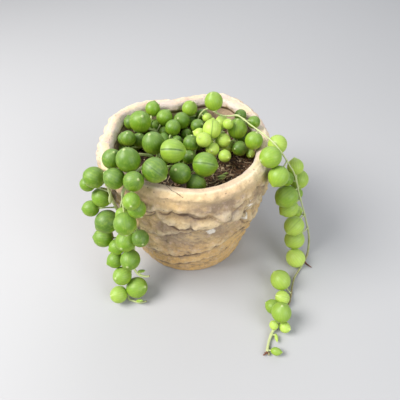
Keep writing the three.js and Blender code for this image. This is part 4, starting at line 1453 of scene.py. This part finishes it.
def add_leaf(gathered, settings, rng, root, heading, centre, radius, tone, slit):
    """One leaf on its stalk. The smallest leaves lean along their stem."""
    outward = centre - root + heading * 4 * smooth_step(2, 1.2, radius)
    outward /= np.linalg.norm(outward)
    pointed = min(1, 0.45 + 0.5 * tone + max(0, 5 - 2 * radius) * 0.2)
    points, directions, faces = leaf_shape(settings.around, settings.tip / MM, radius, pointed)
    slit_hour, strength = slit or (None, None)
    axes = leaf_axes(outward, rng, slit_hour)
    long = 1.01 + 0.4 * smooth_step(2.4, 1.4, radius)
    stretch = rng.uniform(1, 1.035, 3) * (2 - long, 2 - long, long)
    faint = max(0, rng.uniform(-1.2, 0.45)) * 0.6
    strength = faint if strength is None else strength
    facing_up = (directions @ axes.T)[:, 2]
    points = points * stretch @ axes.T + centre
    gathered.add(
        points, faces, 0, direction=directions, facing_up=facing_up, tone=tone, slit=strength)
    bend = np.cross(outward, rng.normal(0, 1, 3))
    t = np.linspace(0, 1, STALK_STEPS)[:, None]
    end = centre - outward * radius * 0.93
    line = root + (end - root) * t + bend * (t * (1 - t)) * 0.12 * np.linalg.norm(end - root)
    radii = 0.32 + 0.18 * bell(t[:, 0], 0.2) + 0.18 * bell(1 - t[:, 0], 0.22)
    gathered.add(*tube(line, radii, STALK_SIDES), 1, tone=tone)


def add_air_root(gathered, line, at, hour, length):
    """A thin dry root that hangs from a stem in the air."""
    start, heading = place_along(line, at)
    aim = hour_direction(heading, hour)
    t = np.linspace(0, 1, ROOT_STEPS)[:, None]
    droop = np.array((0, -0.22, 0)) * length
    thread = start + aim * length * t + droop * t * t + (0, 0, 0.25) * np.sin(9 * t)
    thread[:, 2] = np.maximum(thread[:, 2], 0.5)
    gathered.add(*tube(thread, np.linspace(0.55, 0.2, ROOT_STEPS), ROOT_SIDES), 1, age=0.9)


def add_scrap(gathered, start, end, thick, tone, age):
    """A small loose bit, thickest past its middle."""
    t = np.linspace(0, 1, SCRAP_STEPS)[:, None]
    line = np.array(start) * (1 - t) + np.array(end) * t
    line[:, 2] += np.sin(np.pi * t[:, 0]) * 0.3
    radii = 0.08 + thick * np.sin(np.pi * t[:, 0] ** 1.4) ** 0.8
    gathered.add(*tube(line, radii, SCRAP_SIDES), 1, tone=tone, age=age)


def build_strand(settings, strand, line, leaves):
    """A stem with its leaves, air root and scraps, as one object."""
    gathered = Gathered(direction=(0, 0, 0), facing_up=0, tone=0, slit=0, age=0)
    rng = np.random.default_rng([LEAF_SEED, len(strand["name"]), len(leaves)])
    roots = [leaf[1] for leaf in leaves]
    middles, headings = (line[:-1] + line[1:]) / 2, line[1:] - line[:-1]
    headings /= np.linalg.norm(headings, axis=1)[:, None]
    fine = stem_line(strand["route"], steps=14)
    radii, age = stem_radii(fine, roots, strand)
    ages = np.append(np.repeat(age, STEM_SIDES), [age[0], age[-1]])
    gathered.add(*tube(fine, radii, STEM_SIDES), 1, tone=strand["tone"], age=ages)
    tones, slits = strand.get("tones", {}), strand.get("slits", {})
    for number, root, centre, radius in leaves:
        tone = tones.get(number, strand["tone"] + rng.normal(0, 0.1))
        tone = min(max(tone, 0), 1)
        heading = headings[np.linalg.norm(middles - root, axis=1).argmin()]
        add_leaf(gathered, settings, rng, root, heading, centre, radius, tone, slits.get(number))
    if "air_root" in strand:
        add_air_root(gathered, line, *strand["air_root"])
    for scrap in strand.get("scraps", ()):
        add_scrap(gathered, *scrap)
    return gathered.build(strand["name"] + "_plant")


def leaf_window(paint, x, y, z, cloud, fine):
    """The slit of a leaf's window, and the paler skin on either side of it."""
    aside = paint.calculate("ABSOLUTE", y + (cloud - 0.5) * 0.12)
    ends = 1 - paint.smooth(z * z, 0.5, 0.97)
    slit = (1 - paint.smooth(aside, 0.012 + fine * 0.03, 0.085)) * paint.smooth(x, 0.02, 0.3)
    halo = (1 - paint.smooth(aside, 0.06, 0.2)) * paint.smooth(x, 0.05, 0.5)
    return slit * ends, halo


def leaf_material(settings):
    """Waxy skin: painted glow and shade make it yellower below, painted sheen makes it paler
    above; fine lines and a dark window slit.
    """
    paint = Paint("leaf_skin")
    dark, middle, lime, bloom_colour, stem = colours_of(
        settings, "dark", "middle", "lime", "bloom_and_sheen", "stem")
    tone, shows, up = (paint.attribute(name) for name in ("tone", "slit", "facing_up"))
    direction = paint.attribute("direction", output=1)
    x, y, z = (paint.part(direction, axis) for axis in range(3))
    cloud = paint.noise(3.2 * MM, 4, 0.6)
    fine = paint.noise(0.45 * MM, 3, 0.7)

    plain = paint.layers(
        dark, (paint.smooth(tone, 0, 0.55), middle), (paint.smooth(tone, 0.45, 1), lime))
    lit = paint.mix(0.5, plain, paint.mix(0.5, lime, SUNLIT))
    # Painted glow and shade: the lower side's colour.
    low = paint.mix(0.5, plain, paint.mix(0.75, lime, LOWER_SIDE_SHADE_GLOW))
    under = paint.smooth(0 - up + (cloud - 0.5) * 0.9, -0.4, 0.6)
    blotches = paint.smooth(paint.noise(1.6 * MM, 3, 0.6), 0.5, 0.66)
    # Painted sheen: the upper side is paler, as the waxy skin looks under light from above.
    bloom_and_sheen = paint.smooth(up + (cloud - 0.5) * 0.9, 0.15, 1.1) * (0.36 - 0.03 * tone)
    turn = paint.calculate("ARCTAN2", y, x)
    lines = paint.calculate("SINE", turn * 22 + cloud * 7)
    flank = 1 - paint.smooth(z * z, 0.75, 0.98)
    uneven = paint.smooth(fine * 0.4 + cloud * 0.6, 0.4, 0.6)
    slit, halo = leaf_window(paint, x, y, z, cloud, fine)
    tips = paint.smooth(z, 0.985, 0.999) + paint.smooth(0 - z, 0.95, 0.995) * 0.7
    colour = paint.layers(
        plain,
        # Painted glow and shade on the lower side.
        (under * 0.85, low),
        (blotches * 0.3, lit),
        # Painted sheen on the upper side.
        (bloom_and_sheen, bloom_colour),
        (paint.smooth(lines, 0.3, 1) * flank * uneven * 0.23, lit),
        (paint.smooth(0 - lines, 0.5, 1) * flank * 0.11, dark),
        (halo * shows * 0.3, bloom_colour),
        (slit * shows * 0.8, paint.mix(0.5, dark, SLIT)),
        (paint.smooth(fine, 0.62, 0.8) * 0.2, bloom_colour),
        (tips * 0.8, stem),
    )
    skin = fine * 0.25 + lines * 0.05 * flank - slit * shows * 0.6
    return paint.finish(
        Base_Color=colour,
        Roughness=0.3 + 0.2 * cloud + bloom_and_sheen * 0.15,
        Specular_IOR_Level=0.4,
        Subsurface_Weight=0.12,
        Subsurface_Radius=(1.0, 1.6, 0.4),
        Subsurface_Scale=1.4 * MM,
        Normal=paint.bump(skin, 0.12 * MM, 0.5),
    )


def stem_material(settings):
    """Pale green stems that dry to red-brown."""
    paint = Paint("stem_skin")
    stem, middle, bloom_and_sheen, dry = colours_of(settings, "stem", "middle", "bloom_and_sheen", "dry")
    age, tone = paint.attribute("age"), paint.attribute("tone")
    length = paint.noise(5 * MM, 4, 0.6)
    fine = paint.noise(0.6 * MM, 4, 0.7)
    colour = paint.layers(
        paint.mix(0.55, stem, middle),
        (paint.smooth(tone + length - 0.5, 0, 0.5), stem),
        (paint.smooth(fine, 0.5, 0.8) * 0.25, bloom_and_sheen),
        (paint.smooth(age + (length - 0.5) * 0.5, 0.25, 0.7), dry),
    )
    return paint.finish(
        Base_Color=colour,
        Roughness=0.45 + 0.2 * fine,
        Subsurface_Weight=0.1,
        Subsurface_Radius=(1.0, 1.2, 0.4),
        Subsurface_Scale=0.6 * MM,
        Normal=paint.bump(fine, 0.15 * MM, 0.5),
    )


class OBJECT_OT_pearls_plant(bpy.types.Operator):
    """Grow the stems with their leaves"""

    bl_idname = "object.pearls_plant"
    bl_label = "Stems and leaves"

    def execute(self, context):
        settings = context.scene.pearls_plant
        skins = leaf_material(settings), stem_material(settings)
        lines = [stem_line(strand["route"]) for strand in STRANDS]
        owner, number, root, centre, radius = settled_leaves(lines)
        for k, strand in enumerate(STRANDS):
            own = np.flatnonzero(owner == k)
            leaves = [(number[i], root[i], centre[i], radius[i]) for i in own]
            plant = build_strand(settings, strand, lines[k], leaves)
            slot = SLOTS.get(strand["name"], USUAL_SLOT)
            hand_over(plant, strand["name"], slot, *skins)
        return {"FINISHED"}


# The camera, the floor and the lights, in metres.

FLOOR_HALF = 1.5
FLOOR_DROP = 0.02 * MM
FLOOR_COLOUR = (0.46, 0.46, 0.47, 1)
SKY_COLOUR = (0.93, 0.96, 1.0, 1)
# The setting that says a light's power, its place, its size and its colour.
LIGHTS = (
    ("key", (-0.4, -0.1, 0.48), 0.36, (1.0, 0.98, 0.95)),
    ("fill", (0.42, -0.4, 0.38), 0.5, (0.93, 0.96, 1.0)),
    ("back", (0.12, 0.5, 0.45), 0.5, (0.95, 0.97, 1.0)),
)
LIGHTS_AIM = (0, 0, 0.04)


def add_light(name, place, size, power, colour):
    """A round soft light that looks at the plant."""
    light = bpy.data.lights.new(name, "AREA")
    light.shape = "DISK"
    light.size = size
    light.energy = power
    light.color = colour
    lamp = bpy.data.objects.new(name, light)
    lamp.location = place
    lamp.rotation_euler = (Vector(LIGHTS_AIM) - Vector(place)).to_track_quat("-Z", "Y").to_euler()
    bpy.context.scene.collection.objects.link(lamp)


class OBJECT_OT_pearls_stage(bpy.types.Operator):
    """Set the camera, the floor and the soft lights"""

    bl_idname = "object.pearls_stage"
    bl_label = "Camera, floor and lights"

    def execute(self, context):
        settings = context.scene.pearls_stage
        camera = bpy.data.objects.new("camera", bpy.data.cameras.new("camera"))
        camera.location = settings.camera_place
        camera.rotation_euler = (settings.camera_tilt, 0, 0)
        camera.data.sensor_width = 36
        camera.data.lens = settings.lens
        camera.data.clip_start = 0.01
        context.scene.collection.objects.link(camera)
        context.scene.camera = camera
        corners = np.array([(-1, -1, 0), (1, -1, 0), (1, 1, 0), (-1, 1, 0)]) * FLOOR_HALF
        floor = new_mesh_object("floor", corners / MM, [(0, 1, 2, 3)])
        floor.location.z = -FLOOR_DROP
        paint = Paint("floor")
        floor.data.materials.append(paint.finish(Base_Color=FLOOR_COLOUR, Roughness=0.8))
        for name, place, size, colour in LIGHTS:
            add_light(name, place, size, getattr(settings, name), colour)
        world = bpy.data.worlds.new("soft_sky")
        world.use_nodes = True
        background = world.node_tree.nodes["Background"]
        background.inputs["Color"].default_value = SKY_COLOUR
        background.inputs["Strength"].default_value = settings.sky
        context.scene.world = world
        context.scene.view_settings.view_transform = "Standard"
        return {"FINISHED"}


# What Blender is told about.

STEPS = (
    OBJECT_OT_pearls_stage, OBJECT_OT_pearls_pot, OBJECT_OT_pearls_soil, OBJECT_OT_pearls_plant,
)
GROUPS = {
    "pearls_stage": StageSettings,
    "pearls_pot": PotSettings,
    "pearls_soil": SoilSettings,
    "pearls_plant": PlantSettings,
}


class VIEW3D_PT_pearls(bpy.types.Panel):
    """Lists the steps that build the plant in its pot"""

    bl_label = "Potted string of pearls"
    bl_space_type = "VIEW_3D"
    bl_region_type = "UI"
    bl_category = "Pearls"

    def draw(self, context):
        for step in STEPS:
            self.layout.operator(step.bl_idname)


CLASSES = (*GROUPS.values(), *STEPS, VIEW3D_PT_pearls)


def register():
    for made in CLASSES:
        bpy.utils.register_class(made)
    for name, group in GROUPS.items():
        setattr(bpy.types.Scene, name, bpy.props.PointerProperty(type=group))


def unregister():
    for name in GROUPS:
        delattr(bpy.types.Scene, name)
    for made in reversed(CLASSES):
        bpy.utils.unregister_class(made)


def main():
    register()
    bpy.ops.object.pearls_stage()
    bpy.ops.object.pearls_pot()
    bpy.ops.object.pearls_soil()
    bpy.ops.object.pearls_plant()


if __name__ == "__main__":
    main()
